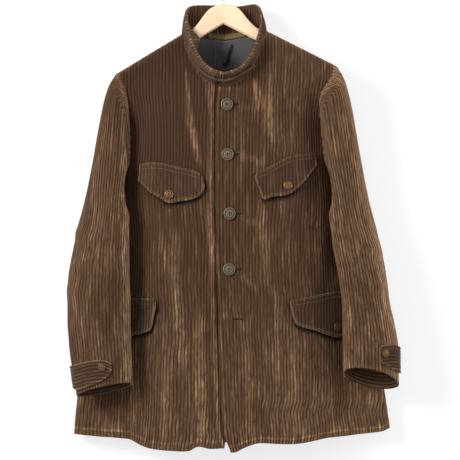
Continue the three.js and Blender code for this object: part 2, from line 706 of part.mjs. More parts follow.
function buildSleeve(side) {
  const rows = SLEEVES[side.name];
  const half = (columns, table) => armholeHalf(columns).map(({ place, along }) => {
    const leave = {};
    ['girth', 'out', 'forward', 'down', 'fade'].forEach((key) => { leave[key] = curve(table, 'along', key)(along); });
    return sleeveColumn(rows, side, place, leave);
  });
  const front = half(torso[side.name].front, ARMHOLE_FRONT);
  const back = half(torso[side.name].back, ARMHOLE_BACK).slice(1, -1).reverse();
  const around = front.concat(back);
  if (side === LEFT) around.reverse();
  const sheet = new Sheet();
  sheet.addGrid(around, true);
  add(`sleeve_${side.name}`, sheet.wall(0, -CLOTH), corduroy());
}

[RIGHT, LEFT].forEach(buildSleeve);

// The neckline from the centre front to the centre back on one side, as places with their share.
function necklineHalf(side) {
  const isNeck = ({ column }) => column.top === 'neck';
  const corner = (columns) => columns.find(({ column }) => column.top === 'shoulder').upper.at(-1);
  const { front, back } = torso[side.name];
  const edge = front.filter(isNeck).map(({ upper }) => upper.at(-1));
  const frontPlaces = edge.filter((place) => side.sign * (place.x - NECK_CENTRE) > 0.5);
  const backPlaces = back.filter(isNeck).map(({ upper }) => upper.at(-1)).reverse();
  const places = [...frontPlaces, corner(front), ...backPlaces];
  const lengths = [0];
  places.slice(1).forEach((place, i) => lengths.push(lengths[i] + place.distanceTo(places[i])));
  return places.map((place, i) => ({ place, along: lengths[i] / lengths.at(-1) }));
}

const COLLAR_ROWS = 6;

// A place on the collar's outer face: it starts straight up from the neckline and leans outwards.
function collarPoint(side, base, along, up) {
  const edge = (key) => curve(COLLAR_EDGE, 'along', key)(along);
  const x = NECK_CENTRE + side.sign * edge(side.name);
  const top = new THREE.Vector3(x, edge('y'), -edge(side === RIGHT ? 'dropRight' : 'dropLeft'));
  const start = base.clone();
  start.z += SEAM * 2;
  const control = start.clone().lerp(top, 0.35);
  control.z += COLLAR_BELLY;
  const first = start.clone().lerp(control, up);
  return first.lerp(control.clone().lerp(top, up), up);
}

function collarColumns(side) {
  return necklineHalf(side).map(({ place, along }) => {
    const column = [];
    for (let j = 0; j <= COLLAR_ROWS; j += 1) column.push(collarPoint(side, place, along, j / COLLAR_ROWS));
    return column;
  });
}

function buildCollar() {
  const left = collarColumns(LEFT);
  const right = collarColumns(RIGHT);
  const around = left.concat(right.slice(0, -1).reverse());
  const sheet = new Sheet();
  sheet.addGrid(around);
  add('collar', sheet.wall(0, -COLLAR_CLOTH), corduroy());
}

buildCollar();

// A place on the collar at a distance across, in front or behind, by the nearest neckline places.
function collarAcross(x, up, behind) {
  const side = x < NECK_CENTRE ? RIGHT : LEFT;
  const half = necklineHalf(side);
  const list = behind ? [...half].reverse() : half;
  const reach = (entry) => side.sign * (entry.place.x - NECK_CENTRE);
  const out = side.sign * (x - NECK_CENTRE);
  let i = 0;
  while (i < list.length - 2 && reach(list[i + 1]) < out) i += 1;
  const share = clamp((out - reach(list[i])) / (reach(list[i + 1]) - reach(list[i])), 0, 1);
  const base = list[i].place.clone().lerp(list[i + 1].place, share);
  return collarPoint(side, base, lerp(list[i].along, list[i + 1].along, share), up);
}

function bandOnCollar(band, steps, rows, behind) {
  const sheet = new Sheet();
  const columns = [];
  for (let i = 0; i <= steps; i += 1) {
    const x = lerp(band.from, band.to, i / steps);
    const column = [];
    for (let j = 0; j <= rows; j += 1) {
      column.push(collarAcross(x, lerp(band.low, band.high, j / rows), behind));
    }
    columns.push(column);
  }
  sheet.addGrid(behind ? columns.reverse() : columns);
  return sheet;
}

add('throat_tab', bandOnCollar(STRAP, 14, 3, false).wall(SEAM + CLOTH + 0.5, SEAM + 0.5), corduroy());
const labelDepth = COLLAR_CLOTH + SEAM;
add('label', bandOnCollar(LABEL, 8, 2, true).wall(-labelDepth, -labelDepth - LABEL.thickness), labelCloth());

// Lining, hung inside the back from the neckline down, only as far as the neck shows it.
const LINING_HALF = 92;
const LINING_END = 300;
const LINING_HANGS_IN = 2.9;

function liningY(x, drop) {
  return backY(x, drop) - CLOTH - LINING_HANGS_IN;
}

function buildLining() {
  const sheet = new Sheet();
  const columns = [];
  for (let i = 0; i <= 16; i += 1) {
    const x = NECK_CENTRE + lerp(LINING_HALF, -LINING_HALF, i / 16);
    const out = Math.min(Math.abs(x - NECK_CENTRE), NECK_HALF);
    const top = shoulderDrop(x) + Math.max(neckBackAt(out) + 3, 34);
    const column = [];
    for (let j = 0; j <= 6; j += 1) {
      const drop = lerp(LINING_END, top, j / 6);
      column.push(new THREE.Vector3(x, liningY(x, drop), -drop));
    }
    columns.push(column);
  }
  sheet.addGrid(columns);
  add('lining_back', sheet.wall(0, -LINING_CLOTH), lining());
}

buildLining();

// The loop of tape, torn off at one end, lies on the lining.
function buildHangLoop() {
  const flat = new THREE.CatmullRomCurve3(HANG_LOOP.map(({ x, drop }) => new THREE.Vector3(x, 0, -drop)));
  const steps = 14;
  const columns = [[], [], []];
  for (let i = 0; i <= steps; i += 1) {
    const middle = flat.getPointAt(i / steps);
    const run = flat.getTangentAt(i / steps);
    columns.forEach((column, j) => {
      const shift = (j - 1) * TAPE_WIDTH / 2;
      const place = middle.clone().add(new THREE.Vector3(run.z * shift, 0, -run.x * shift));
      place.y = liningY(place.x, -place.z) - LINING_CLOTH - SEAM * 4;
      column.push(place);
    });
  }
  const sheet = new Sheet();
  sheet.addGrid(columns);
  add('hang_loop', sheet.wall(0.9, 0), tape());
}

buildHangLoop();

// Pocket flaps are made from the points of the front that they lie on, moved out.
function outerFrontY(x, drop) {
  return x > overEdgeAt(drop) ? frontY(x, drop) - overLift(x) : frontY(x, drop);
}

function onFront(x, drop, distance) {
  const place = new THREE.Vector3(x, outerFrontY(x, drop), -drop);
  return place.addScaledVector(surfaceNormal(outerFrontY, x, drop), distance);
}

function flapLift(rows, x, drop) {
  const top = curve(rows, 'x', 'top')(x);
  const bottom = curve(rows, 'x', 'bottom')(x);
  const down = clamp((drop - top) / (bottom - top), 0, 1);
  return FLAP_CLEARANCE + FLAP_STANDS_OFF * down * down;
}

const FLAP_COLUMNS = 12;
const FLAP_ROWS = 4;

function buildFlap(name, rows) {
  const sheet = new Sheet();
  const columns = [];
  for (let i = 0; i <= FLAP_COLUMNS; i += 1) {
    const ease = (1 - Math.cos(Math.PI * i / FLAP_COLUMNS)) / 2;
    const x = lerp(rows[0].x, rows.at(-1).x, lerp(i / FLAP_COLUMNS, ease, 0.6));
    const top = curve(rows, 'x', 'top')(x);
    const bottom = curve(rows, 'x', 'bottom')(x);
    const column = [];
    for (let j = 0; j <= FLAP_ROWS; j += 1) {
      const drop = lerp(bottom, top, j / FLAP_ROWS);
      column.push(onFront(x, drop, flapLift(rows, x, drop)));
    }
    columns.push(column);
  }
  sheet.addGrid(columns);
  add(name, sheet.wall(FLAP_CLOTH, 0), corduroy());
}

Object.entries(FLAPS).forEach(([name, rows]) => buildFlap(name, rows));

// Wrist tabs are made from the sleeve's points, moved out.
function sleeveAtDrop(rows, girth, drop) {
  let low = 0;
  let high = 1;
  for (let pass = 0; pass < 24; pass += 1) {
    const middle = (low + high) / 2;
    if (-sleevePoint(rows, girth, middle).z < drop) low = middle;
    else high = middle;
  }
  return sleevePoint(rows, girth, low);
}

function onSleeve(side, girth, drop, distance) {
  const rows = SLEEVES[side.name];
  const place = sleeveAtDrop(rows, girth, drop);
  const across = sleeveAtDrop(rows, girth + 0.02, drop).sub(sleeveAtDrop(rows, girth - 0.02, drop));
  const down = sleeveAtDrop(rows, girth, drop + 3).sub(sleeveAtDrop(rows, girth, drop - 3));
  const normal = across.cross(down).normalize().multiplyScalar(-side.sign);
  return { place: place.addScaledVector(normal, -distance), normal: normal.negate() };
}

const TAB_LIFT = 1.4;
const TAB_COLUMNS = 12;

function buildCuffTab(side) {
  const sheet = new Sheet();
  const rows = CUFF_TABS[side.name];
  const columns = [];
  for (let i = 0; i <= TAB_COLUMNS; i += 1) {
    const girth = lerp(rows[0].girth, rows.at(-1).girth, Math.sin(Math.PI * i / TAB_COLUMNS / 2));
    const top = curve(rows, 'girth', 'top')(girth);
    const bottom = curve(rows, 'girth', 'bottom')(girth);
    const column = [];
    for (let j = 0; j <= 3; j += 1) {
      column.push(onSleeve(side, girth, lerp(bottom, top, j / 3), TAB_LIFT).place);
    }
    columns.push(column);
  }
  sheet.addGrid(side === RIGHT ? columns : columns.reverse());
  add(`cuff_tab_${side.name}`, sheet.wall(CLOTH, 0), corduroy());
}

[RIGHT, LEFT].forEach(buildCuffTab);

// A domed button: a turned profile, closed on its axis, standing along a direction.
function addButton(name, place, normal, radius, material) {
  const profile = [new THREE.Vector2(0, 0)];
  BUTTON_PROFILE.forEach(({ out, up }) => profile.push(new THREE.Vector2(out * radius, up * radius)));
  profile.push(new THREE.Vector2(0, 0.34 * radius));
  const mesh = add(name, new THREE.LatheGeometry(profile, BUTTON_SIDES), material);
  mesh.position.copy(place);
  mesh.quaternion.setFromUnitVectors(new THREE.Vector3(0, 1, 0), normal);
}

// A button lies flat over a curved surface, at the height that clears the cloth all round it.
function buttonOn(name, at, x, drop, radius, material) {
  const middle = at(x, drop);
  const across = at(x + radius, drop).sub(at(x - radius, drop));
  const normal = across.cross(at(x, drop - radius).sub(at(x, drop + radius))).normalize();
  let most = 0;
  for (let i = 0; i < 8; i += 1) {
    const angle = Math.PI * i / 4;
    const rim = at(x + radius * Math.cos(angle), drop + radius * Math.sin(angle));
    most = Math.max(most, rim.sub(middle).dot(normal));
  }
  addButton(name, middle.addScaledVector(normal, most + SEAM * 2), normal, radius, material);
}

FRONT_BUTTONS.forEach(({ x, drop }, i) => {
  const at = (sx, sd) => onFront(sx, sd, 0);
  buttonOn(`front_button_${i + 1}`, at, x, drop, FRONT_BUTTON_RADIUS, pewter());
});

FLAP_BUTTONS.forEach(({ name, flap, x, drop }) => {
  const at = (sx, sd) => onFront(sx, sd, flapLift(FLAPS[flap], sx, sd) + FLAP_CLOTH);
  buttonOn(name, at, x, drop, FLAP_BUTTON_RADIUS, brass());
});

[RIGHT, LEFT].forEach((side) => {
  const { girth, drop } = CUFF_BUTTONS[side.name];
  const { place, normal } = onSleeve(side, girth, drop, TAB_LIFT + CLOTH + SEAM + 0.5);
  addButton(`cuff_button_${side.name}`, place, normal, CUFF_BUTTON_RADIUS, brass());
});

// The wooden hanger: two flat arms swept forwards, with a round crest between them.
const crestAt = curve(WOOD_CREST, 'out', 'rise');

function woodRing(x) {
  const line = shoulderDrop(x) + WOOD_BELOW_CLOTH;
  const end = clamp((ARM_REACH - Math.abs(x)) / 10, 0, 1);
  const narrow = Math.sqrt(1 - (1 - end) ** 2);
  const half = WOOD_HALF_THICKNESS * (0.35 + 0.65 * narrow);
  const top = line - crestAt(Math.abs(x));
  const bottom = lerp(line + WOOD_HEIGHT / 2, line + WOOD_HEIGHT, 0.3 + 0.7 * narrow);
  const middleY = ridgeY(x) + CREST_SET_BACK * Math.max(1 - Math.abs(x) / CREST_REACH, 0) ** 2;
  const round = 3.2;
  const corners = [
    [-half, bottom - round], [-half, top + round + 3], [-half + round * 0.8, top + 1.2], [0, top],
    [half - round * 0.8, top + 1.2], [half, top + round + 3], [half, bottom - round],
    [half - round, bottom], [-half + round, bottom],
  ];
  return corners.map(([y, drop]) => new THREE.Vector3(x, middleY + y, -drop));
}

function buildHanger() {
  const outs = [0, 8, 16, 22, 28, 34, 40, 46, 53, 62, 75, 95, 120, 145, 165, 180, 185.5, 188.8, 190];
  const xs = outs.slice(1).reverse().map((out) => -out).concat(outs);
  const rings = xs.map(woodRing);
  const sides = rings[0].length;
  const corners = rings.flat();
  const faces = [];
  for (let i = 0; i < rings.length - 1; i += 1) {
    for (let j = 0; j < sides; j += 1) {
      const a = i * sides + j;
      const b = i * sides + ((j + 1) % sides);
      faces.push([a, b + sides, b], [a, a + sides, b + sides]);
    }
  }
  const last = (rings.length - 1) * sides;
  for (let j = 1; j < sides - 1; j += 1) {
    faces.push([0, j, j + 1], [last, last + j + 1, last + j]);
  }
  const geometry = new THREE.BufferGeometry();
  geometry.setAttribute('position', new THREE.Float32BufferAttribute(corners.flatMap((p) => p.toArray()), 3));
  geometry.setIndex(faces.flat());
  add('hanger', geometry, beech());
}

buildHanger();

// The hook is a bent wire in the plane of Y and Z. It stands on the crest of the wood.
function buildHook() {
  const middle = HOOK_RADIUS - WIRE_RADIUS;
  const points = [
    new THREE.Vector3(0, CREST_SET_BACK, -(APEX_DROP + WOOD_BELOW_CLOTH - crestAt(0)) + SEAM),
    new THREE.Vector3(0, CREST_SET_BACK, -53),
    new THREE.Vector3(0, 8, -44),
    new THREE.Vector3(0, 14, -36),
    new THREE.Vector3(0, 19.5, -28),
  ];
  for (let degrees = -12; degrees <= 200; degrees += 21.2) {
    const angle = THREE.MathUtils.degToRad(degrees);
    points.push(new THREE.Vector3(
      0, (HOOK_RADIUS + WIRE_RADIUS) * Math.cos(angle), -middle - WIRE_RADIUS + (HOOK_RADIUS + WIRE_RADIUS) * Math.sin(angle)));
  }
  const path = new THREE.CatmullRomCurve3(points, false, 'centripetal');
  const section = new THREE.Shape();
  section.absarc(0, 0, WIRE_RADIUS, 0, 2 * Math.PI);
  add('hook', new THREE.ExtrudeGeometry(section, { steps: 30, extrudePath: path, curveSegments: 4 }), steel());
}

buildHook();

export default group;
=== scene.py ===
# %% [markdown]
# # A hunting jacket of wide-wale corduroy, hung up
# The jacket hangs from a wooden hanger, flat against a white wall. The solids come from the CAD
# model, and this lesson dresses them: each panel of cloth becomes a fine sheet with real wales,
# soft folds and stitching, on the form of its own solid. Sizes are written in millimetres and
# made metres when a mesh is built. A height is a drop below the crown of the hook.

# %% Setup
import json
import math

import bpy
import numpy as np
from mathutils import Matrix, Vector

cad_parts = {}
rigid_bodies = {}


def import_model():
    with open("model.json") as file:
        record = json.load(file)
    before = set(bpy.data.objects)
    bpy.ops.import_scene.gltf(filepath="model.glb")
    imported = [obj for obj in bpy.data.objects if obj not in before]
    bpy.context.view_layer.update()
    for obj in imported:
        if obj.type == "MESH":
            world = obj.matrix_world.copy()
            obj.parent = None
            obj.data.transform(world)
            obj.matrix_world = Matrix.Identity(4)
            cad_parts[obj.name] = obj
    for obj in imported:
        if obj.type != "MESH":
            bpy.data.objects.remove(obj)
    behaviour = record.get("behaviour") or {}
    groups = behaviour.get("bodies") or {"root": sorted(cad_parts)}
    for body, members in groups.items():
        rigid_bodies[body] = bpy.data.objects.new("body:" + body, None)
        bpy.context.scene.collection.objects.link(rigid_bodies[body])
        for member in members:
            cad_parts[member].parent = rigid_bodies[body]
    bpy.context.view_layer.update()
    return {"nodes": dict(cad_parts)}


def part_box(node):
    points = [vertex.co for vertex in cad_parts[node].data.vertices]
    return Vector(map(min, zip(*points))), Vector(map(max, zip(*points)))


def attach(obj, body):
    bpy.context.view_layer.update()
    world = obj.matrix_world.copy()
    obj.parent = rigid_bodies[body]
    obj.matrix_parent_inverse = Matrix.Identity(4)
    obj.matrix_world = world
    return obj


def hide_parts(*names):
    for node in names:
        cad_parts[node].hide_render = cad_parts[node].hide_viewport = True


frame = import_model()
MM = 0.001
print("solids:", len(frame["nodes"]))

# %% [markdown]
# ## Curves through measured rows
# The form of a hung jacket is known at some heights only. Those could be joined by straight
# lines, as in a low mesh, but cloth would then show creases at every row. A smooth curve passes
# through the rows instead and gives each value between them.


# %% Curves
def table(names, *rows):
    """One array for each named column."""
    return dict(zip(names.split(), np.array(rows, float).T))


def curve(rows, key, value):
    """A smooth curve through two columns of a table, level beyond its ends."""
    knots, values = rows[key], rows[value]
    last = len(knots) - 1
    before = np.maximum(np.arange(last + 1) - 1, 0)
    after = np.minimum(np.arange(last + 1) + 1, last)
    slopes = (values[after] - values[before]) / (knots[after] - knots[before])

    def at(place):
        place = np.clip(place, knots[0], knots[last])
        i = np.clip(np.searchsorted(knots, place, side="right") - 1, 0, last - 1)
        span = knots[i + 1] - knots[i]
        t = (place - knots[i]) / span
        rise = (3 - 2 * t) * t * t
        leave = t * (1 - t) * (1 - t) * span * slopes[i]
        arrive = -t * t * (1 - t) * span * slopes[i + 1]
        return values[i] + (values[i + 1] - values[i]) * rise + leave + arrive

    return at


def smooth(value, low, high):
    t = np.clip((value - low) / (high - low), 0, 1)
    return t * t * (3 - 2 * t)


def lerp(a, b, t):
    return a + (b - a) * t


HALFWAY = curve(table("place value", (0, 1), (2, 5)), "place", "value")(1.0)
print("halfway between 1 and 5 the curve gives", float(HALFWAY))

# %% [markdown]
# ## The driving sizes
# These few sizes set the rest. They are the same as in the solids, so that the fine sheets and
# the plain solids have one form.

# %% Sizes
CLOTH = 2.2
SEAM = 0.3
OVERLAP_LIFT = 3.4
APEX_DROP = 72
ARM_SLOPE = math.tan(math.radians(29.4))
ARM_TILT = 0.05
ARM_SWEEP = 0.19
SHOULDER_ROUND = 12
FRONT_FALL = 150
BACK_FALL = 130
SIDE_FRONT_Y = 10
BACK_Y = 47
FOLD_RADIUS = 17
FOLD_Y = 27
ARMHOLE_DROP = 349
ARMHOLE_DEPTH = 53
NECK_CENTRE = 1
NECK_HALF = 81
VALLEY_REFERENCE = 188
SHARED_FROM = 40 / VALLEY_REFERENCE
CORNER = 75 / VALLEY_REFERENCE
print("the hanger's arms fall", round(math.degrees(math.atan(ARM_SLOPE)), 1), "degrees")

# %% [markdown]
# ## The body's tables
# The first table says at each height where the body's middle is, how wide it is, how far each
# sleeve lets the front be seen, and how far it bulges. The others follow the neckline, the two
# lapped front edges and the uneven hem.

# %% Body and chest
TORSO = table(
    "drop centre half valley_right valley_left bulge",
    (60, 1, 210, 206, 203, 56),
    (125, 1, 210, 206, 203, 56),
    (194, 8, 211, 206, 200, 57),
    (237, 8, 212, 192, 176, 58),
    (290, 9, 213, 188, 177, 58),
    (349, 9, 214, 188, 183, 58),
    (402, 10, 216, 189, 187, 58),
    (470, 10, 227, 190, 193, 57),
    (600, 12, 262, 190, 208, 55),
    (810, 15, 294, 192, 214, 51),
    (915, 18, 306, 198, 220, 47),
)
CHEST = table(
    "out share",
    (0, 1),
    (0.35, 0.99),
    (0.55, 0.95),
    (0.7, 0.86),
    (0.82, 0.68),
    (0.92, 0.42),
    (1, 0.2),
)
centre_at = curve(TORSO, "drop", "centre")
half_at = curve(TORSO, "drop", "half")
bulge_at = curve(TORSO, "drop", "bulge")
valley_at = {-1: curve(TORSO, "drop", "valley_right"), 1: curve(TORSO, "drop", "valley_left")}
chest_at = curve(CHEST, "out", "share")
print("the body is", round(2 * float(half_at(600.0))), "mm wide at the waist")

# %% Neckline, edges and hem
NECKLINE = table(
    "out front back",
    (0, 149.5, 62),
    (20, 134, 48.5),
    (34, 117, 39),
    (46, 99, 31),
    (62, 66, 18.5),
    (72, 34.5, 9),
    (78, 12, 3),
    (81, 0, 0),
)
EDGES = table(
    "drop over under",
    (222, -10, 25),
    (266, -13, 26),
    (532, -13, 26),
    (664, -8.5, 24),
    (800, -3, 18),
    (870, 1, 8),
    (895, 6, 4),
    (915, 14, 0),
)
HEM_RIGHT = table(
    "x drop",
    (-310, 882), (-285, 883), (-231, 888), (-180, 892), (-157, 903), (-138, 909),
    (-98, 913), (-66, 913), (-49, 905), (-26, 909), (4, 908),
)
HEM_LEFT = table(
    "x drop",
    (0, 916), (14, 915), (30, 909), (50, 902), (68, 898),
    (107, 900), (144, 899), (208, 887), (301, 878), (322, 870),
)
HEM_BACK = table(
    "x drop",
    (-310, 882), (-285, 883), (-150, 896), (10, 900), (180, 893), (301, 878), (322, 870),
)
neck_front_at = curve(NECKLINE, "out", "front")
neck_back_at = curve(NECKLINE, "out", "back")
over_edge_at = curve(EDGES, "drop", "over")
under_edge_at = curve(EDGES, "drop", "under")
print("the fronts overlap by", round(float(under_edge_at(400.0) - over_edge_at(400.0))), "mm")

# %% [markdown]
# ## A little chance
# No two stretches of cloth are alike. Blender's own noise could do this in a displace modifier,
# but the same unevenness is needed by the flaps and buttons that lie on the cloth, so it is a
# function here: random values on a grid, with a smooth way from each to the next. The seed is
# fixed, so every run gives the same jacket.

# %% Noise
GRID = 64
LATTICE = np.random.default_rng(11).random((GRID, GRID))


def noise(u, v):
    """Smooth values between -1 and 1 that change over one unit."""
    i, j = np.floor(u).astype(int), np.floor(v).astype(int)
    s, t = u - i, v - j
    s, t = s * s * (3 - 2 * s), t * t * (3 - 2 * t)
    here, beside = i % GRID, (i + 1) % GRID
    below, above = j % GRID, (j + 1) % GRID
    low = lerp(LATTICE[here, below], LATTICE[beside, below], s)
    high = lerp(LATTICE[here, above], LATTICE[beside, above], s)
    return 2 * lerp(low, high, t) - 1


SAMPLE = noise(np.linspace(0, 40, 2000), np.linspace(0, 90, 2000))
print("noise runs from", round(SAMPLE.min(), 2), "to", round(SAMPLE.max(), 2))

# %% [markdown]
# ## The large folds
# The long folds are what makes this jacket look hung, so each is placed one by one, as a sculptor
# would place it: from one point to another, bowed sideways, with a height in the middle and a
# slope of its own on either side. A negative height is a trough. The drag lines that start at
# the buttons run more across than down.

# %% Folds
# Each row: x and drop of one end, of the other end, the bow, the height, the left and right width.
FRONT_FOLDS = (
    (-71, 212, -40, 385, -8, 5, 9, 13),
    (2, 630, 10, 662, 0, 3.5, 4, 4),
    (-8, 656, 18, 662, 0, 3.5, 4, 5),
    (0, 668, 12, 706, 2, 3, 4, 5),
    (20, 640, 34, 700, 3, 3, 5, 6),
    (30, 232, 34, 420, 2, 3, 6, 8),
    (54, 205, 87, 320, 8, 4.5, 7, 8),
    (80, 330, 68, 420, 0, 3, 6, 7),
    (-33, 425, -18, 600, 4, 6, 8, 10),
    (-98, 440, -66, 820, -6, 5, 12, 15),
    (-54, 620, -42, 925, 4, 6, 11, 15),
    (-20, 640, -8, 880, -3, -5, 12, 9),
    (-150, 460, -142, 870, 4, -4, 15, 16),
    (-122, 240, -134, 350, 3, 1, 12, 16),
    (-150, 235, -162, 360, -4, -3, 12, 10),
    (-118, 640, -112, 930, 5, 4, 10, 14),
    (-172, 560, -176, 930, 3, 5, 9, 14),
    (-128, 452, -112, 600, 5, 3, 9, 9),
    (86, 205, 90, 345, 4, 4, 9, 12),
    (72, 425, 96, 650, -5, 5, 9, 12),
    (128, 236, 120, 340, 3, -3, 12, 10),
    (178, 380, 186, 610, 3, 5, 12, 17),
    (150, 440, 158, 600, -4, -3, 11, 9),
    (38, 600, 84, 800, 6, -5, 12, 14),
    (40, 640, 46, 915, 3, 4, 10, 13),
    (66, 812, 78, 876, 4, -9, 8, 10),
    (86, 820, 80, 884, 0, 4, 6, 8),
    (104, 560, 101, 925, -2, 5, 6, 13),
    (128, 660, 134, 925, 4, 4, 14, 18),
    (186, 720, 200, 925, -4, -4, 14, 12),
    (24, 255, 70, 262, 4, 2.5, 7, 9),
    (24, 350, 84, 372, -3, 3, 8, 9),
    (24, 462, 78, 486, 5, 3, 9, 8),
    (22, 568, 70, 606, 6, 3.5, 9, 10),
)
BACK_FOLDS = (
    (-120, 240, -150, 560, 8, 5, 20, 24),
    (-60, 420, -78, 890, -8, 6, 18, 22),
    (30, 300, 22, 900, 6, -5, 22, 26),
    (118, 230, 150, 520, -6, 5, 18, 22),
    (110, 480, 128, 880, 8, 6, 20, 24),
    (205, 560, 225, 880, 4, -5, 18, 22),
    (-20, 380, -28, 640, 6, 4, 12, 14),
    (-180, 520, -204, 890, -5, 4, 14, 18),
)


def fold_relief(folds, x, drop):
    """How far the folds stand out. A fold that runs more across than down is read along x."""
    total = np.zeros(np.broadcast(x, drop).shape)
    for x0, drop0, x1, drop1, bow, height, left, right in folds:
        if abs(x1 - x0) > abs(drop1 - drop0):
            along, place, start, end = (x - x0) / (x1 - x0), drop, drop0, drop1
        else:
            along, place, start, end = (drop - drop0) / (drop1 - drop0), x, x0, x1
        inside = (along > 0) & (along < 1)
        along = np.clip(along, 0, 1)
        away = place - lerp(start, end, along) - bow * 4 * along * (1 - along)
        away = away / np.where(away < 0, left, right)
        total += inside * height * np.exp(-away * away) * np.sin(np.pi * along) ** 0.7
    return total


print("folds placed by hand:", len(FRONT_FOLDS), "in front and", len(BACK_FOLDS), "behind")


# %% [markdown]
# ## The faces of the body
# One function gives the depth of the outer face at any place in front, and one behind. Near the
# shoulder the cloth is draped over the hanger's arm. Lower down it hangs free, bulges in the
# middle and falls back to the sides. The ripples and the folds are added to that.

# %% Ripples
def ripple(x, drop):
    """Unevenness of hung cloth: narrow across, long down, stronger towards the hem."""
    grow = smooth(drop, 260, 700)
    slow = noise(x / 34 + 7, drop / 190) * (0.8 + 1.7 * grow)
    quick = noise(x / 16 + 31, drop / 70 + 5) * (0.6 + 0.6 * grow)
    creased = 1 - 2 * np.abs(noise(x / 38 + drop / 120 + 50, drop / 80 - x / 90))
    other = 1 - 2 * np.abs(noise(x / 34 - drop / 90 + 20, drop / 62 + 13))
    at_closure = smooth(drop, 300, 460) * (1 - smooth(drop, 650, 730)) * np.exp(-(((x - 6) / 17) ** 2))
    tugged = at_closure * 2.4 * noise(x / 10 + 60, drop / 24 + 7)
    return slow + quick + 1.0 * creased + 0.8 * other + tugged


def shoulder_drop(x):
    return APEX_DROP + ARM_SLOPE * np.abs(x) - ARM_TILT * x


def ridge_y(x):
    return -ARM_SWEEP * (np.hypot(x, 35) - 35)


def round_over(below):
    left = 1 - np.clip(below / SHOULDER_ROUND, 0, 1)
    return SHOULDER_ROUND * np.sqrt(1 - left * left)


print("the shoulder seam drops to", round(float(shoulder_drop(200.0))), "mm at the wearer's left")


# %% Outer faces
def closure(x, drop):
    """Beside the lapped edge the lower front dips, and a ridge runs along the dip."""
    away = x - over_edge_at(drop)
    ridge = 4.5 * np.exp(-(((away + 9.5) / 4.5) ** 2))
    dip = 3.2 * np.exp(-(((away + 2.5) / 3.2) ** 2)) * (away < 0)
    return ridge - dip


def front_y(x, drop):
    """Outer face of the fronts, without its wales."""
    centre = centre_at(drop)
    out = np.abs(x - centre)
    valley = np.where(x < centre, valley_at[-1](drop), valley_at[1](drop))
    edge = half_at(drop) - FOLD_RADIUS
    beyond = 0.2 * (1 - np.clip((out - valley) / np.maximum(edge - valley, 1), 0, 1)) ** 2
    share = np.where(out > valley, beyond, chest_at(out / valley))
    hung = SIDE_FRONT_Y - bulge_at(drop) * share
    below = np.maximum(drop - shoulder_drop(x), 0)
    draped = ridge_y(x) - round_over(below)
    free = smooth(below, 4, 60)
    folds = fold_relief(FRONT_FOLDS, x, drop) + free * (ripple(x, drop) + closure(x, drop))
    return lerp(draped, hung, smooth(below, 0, FRONT_FALL)) - folds


def back_y(x, drop):
    """Outer face of the back, which the wall keeps nearly flat."""
    out = np.abs(x - centre_at(drop))
    edge = half_at(drop) - FOLD_RADIUS
    hung = BACK_Y - 3 * np.minimum(out / edge, 1) ** 2
    below = np.maximum(drop - shoulder_drop(x), 0)
    draped = ridge_y(x) + round_over(below)
    inside = smooth(edge - out, 0, 40) * smooth(below, 4, 60)
    folds = 0.6 * fold_relief(BACK_FOLDS, x, drop) + 0.4 * ripple(x + 300, drop)
    return lerp(draped, hung, smooth(below, 0, BACK_FALL)) + inside * folds


def left_front_y(x, drop):
    """The left front laps over the right one and stands proud of it near its edge."""
    return front_y(x, drop) - OVERLAP_LIFT * (1 - smooth(x, 50, 110))


def outer_front_y(x, drop):
    return np.where(x > over_edge_at(drop), left_front_y(x, drop), front_y(x, drop))


CHEST_DEPTH = back_y(60.0, 300.0) - left_front_y(60.0, 300.0)
print("the chest is", round(float(CHEST_DEPTH)), "mm deep")

# %% [markdown]
# ## Wales
# Wide-wale corduroy has ridges of pile about 6 mm apart with narrow furrows between them. They
# follow the cloth, so each sheet carries a wale count: how many wales lie between a point and
# the edge that the panel is cut along, measured over the curved surface. The ridges are modelled
# in the mesh, and the same count, kept as a UV map, later tells the material where pile is.

# %% Wales
WALE = 6.35
WALE_HEIGHT = 1.0


def wale_relief(count, down):
    """Height of the pile over the sheet: broad ridges, narrow furrows, a little uneven."""
    ridge = np.abs(np.sin(np.pi * count)) ** 0.9
    worn = 1 - 0.16 * noise(count * 0.9 + 3, down / 23) - 0.1 * noise(count * 2.1, down / 7 + 9)
    return WALE_HEIGHT * (ridge * worn - 0.6)


ARC_REACH = 330


def arc_map(surface, sign):
    """Distance over the surface from the middle out to x, as a function of x and drop."""
    outs = np.linspace(0, ARC_REACH, 166)
    drops = np.linspace(60, 940, 111)
    xs, ds = np.meshgrid(sign * outs, drops, indexing="ij")
    ys = surface(xs, ds)
    steps = np.hypot(np.diff(xs, axis=0), np.diff(ys, axis=0))
    length = np.vstack([np.zeros(len(drops)), np.cumsum(steps, axis=0)])

    def at(x, drop):
        u = np.clip(sign * x / ARC_REACH * 165, -20, 164.999)
        v = np.clip((drop - 60) / 880 * 110, 0, 109.999)
        i, j = np.maximum(np.floor(u), 0).astype(int), np.floor(v).astype(int)
        s, t = u - i, v - j
        low = lerp(length[i, j], length[i + 1, j], s)
        high = lerp(length[i, j + 1], length[i + 1, j + 1], s)
        return lerp(low, high, t)

    return at


print("wales are", WALE, "mm apart and", WALE_HEIGHT, "mm high")

# %% [markdown]
# ## From a grid to cloth
# Every panel is a grid of points on its outer face. The helper here lifts the pile off it, lays
# the lining side one cloth's thickness behind, and closes the rim between the two, so that each
# panel is a real wall. Meshes of this kind come from numbers, so plain code makes them, and the
# hard pieces further down use Blender's own tools.


# %% Sheets
def grid_ids(grid):
    """The number of each point of a grid, laid out as the grid is."""
    return np.arange(grid[..., 0].size).reshape(grid.shape[:2])


def grid_faces(ids):
    corners = [ids[:-1, :-1], ids[1:, :-1], ids[1:, 1:], ids[:-1, 1:]]
    return np.stack(corners, -1).reshape(-1, 4)


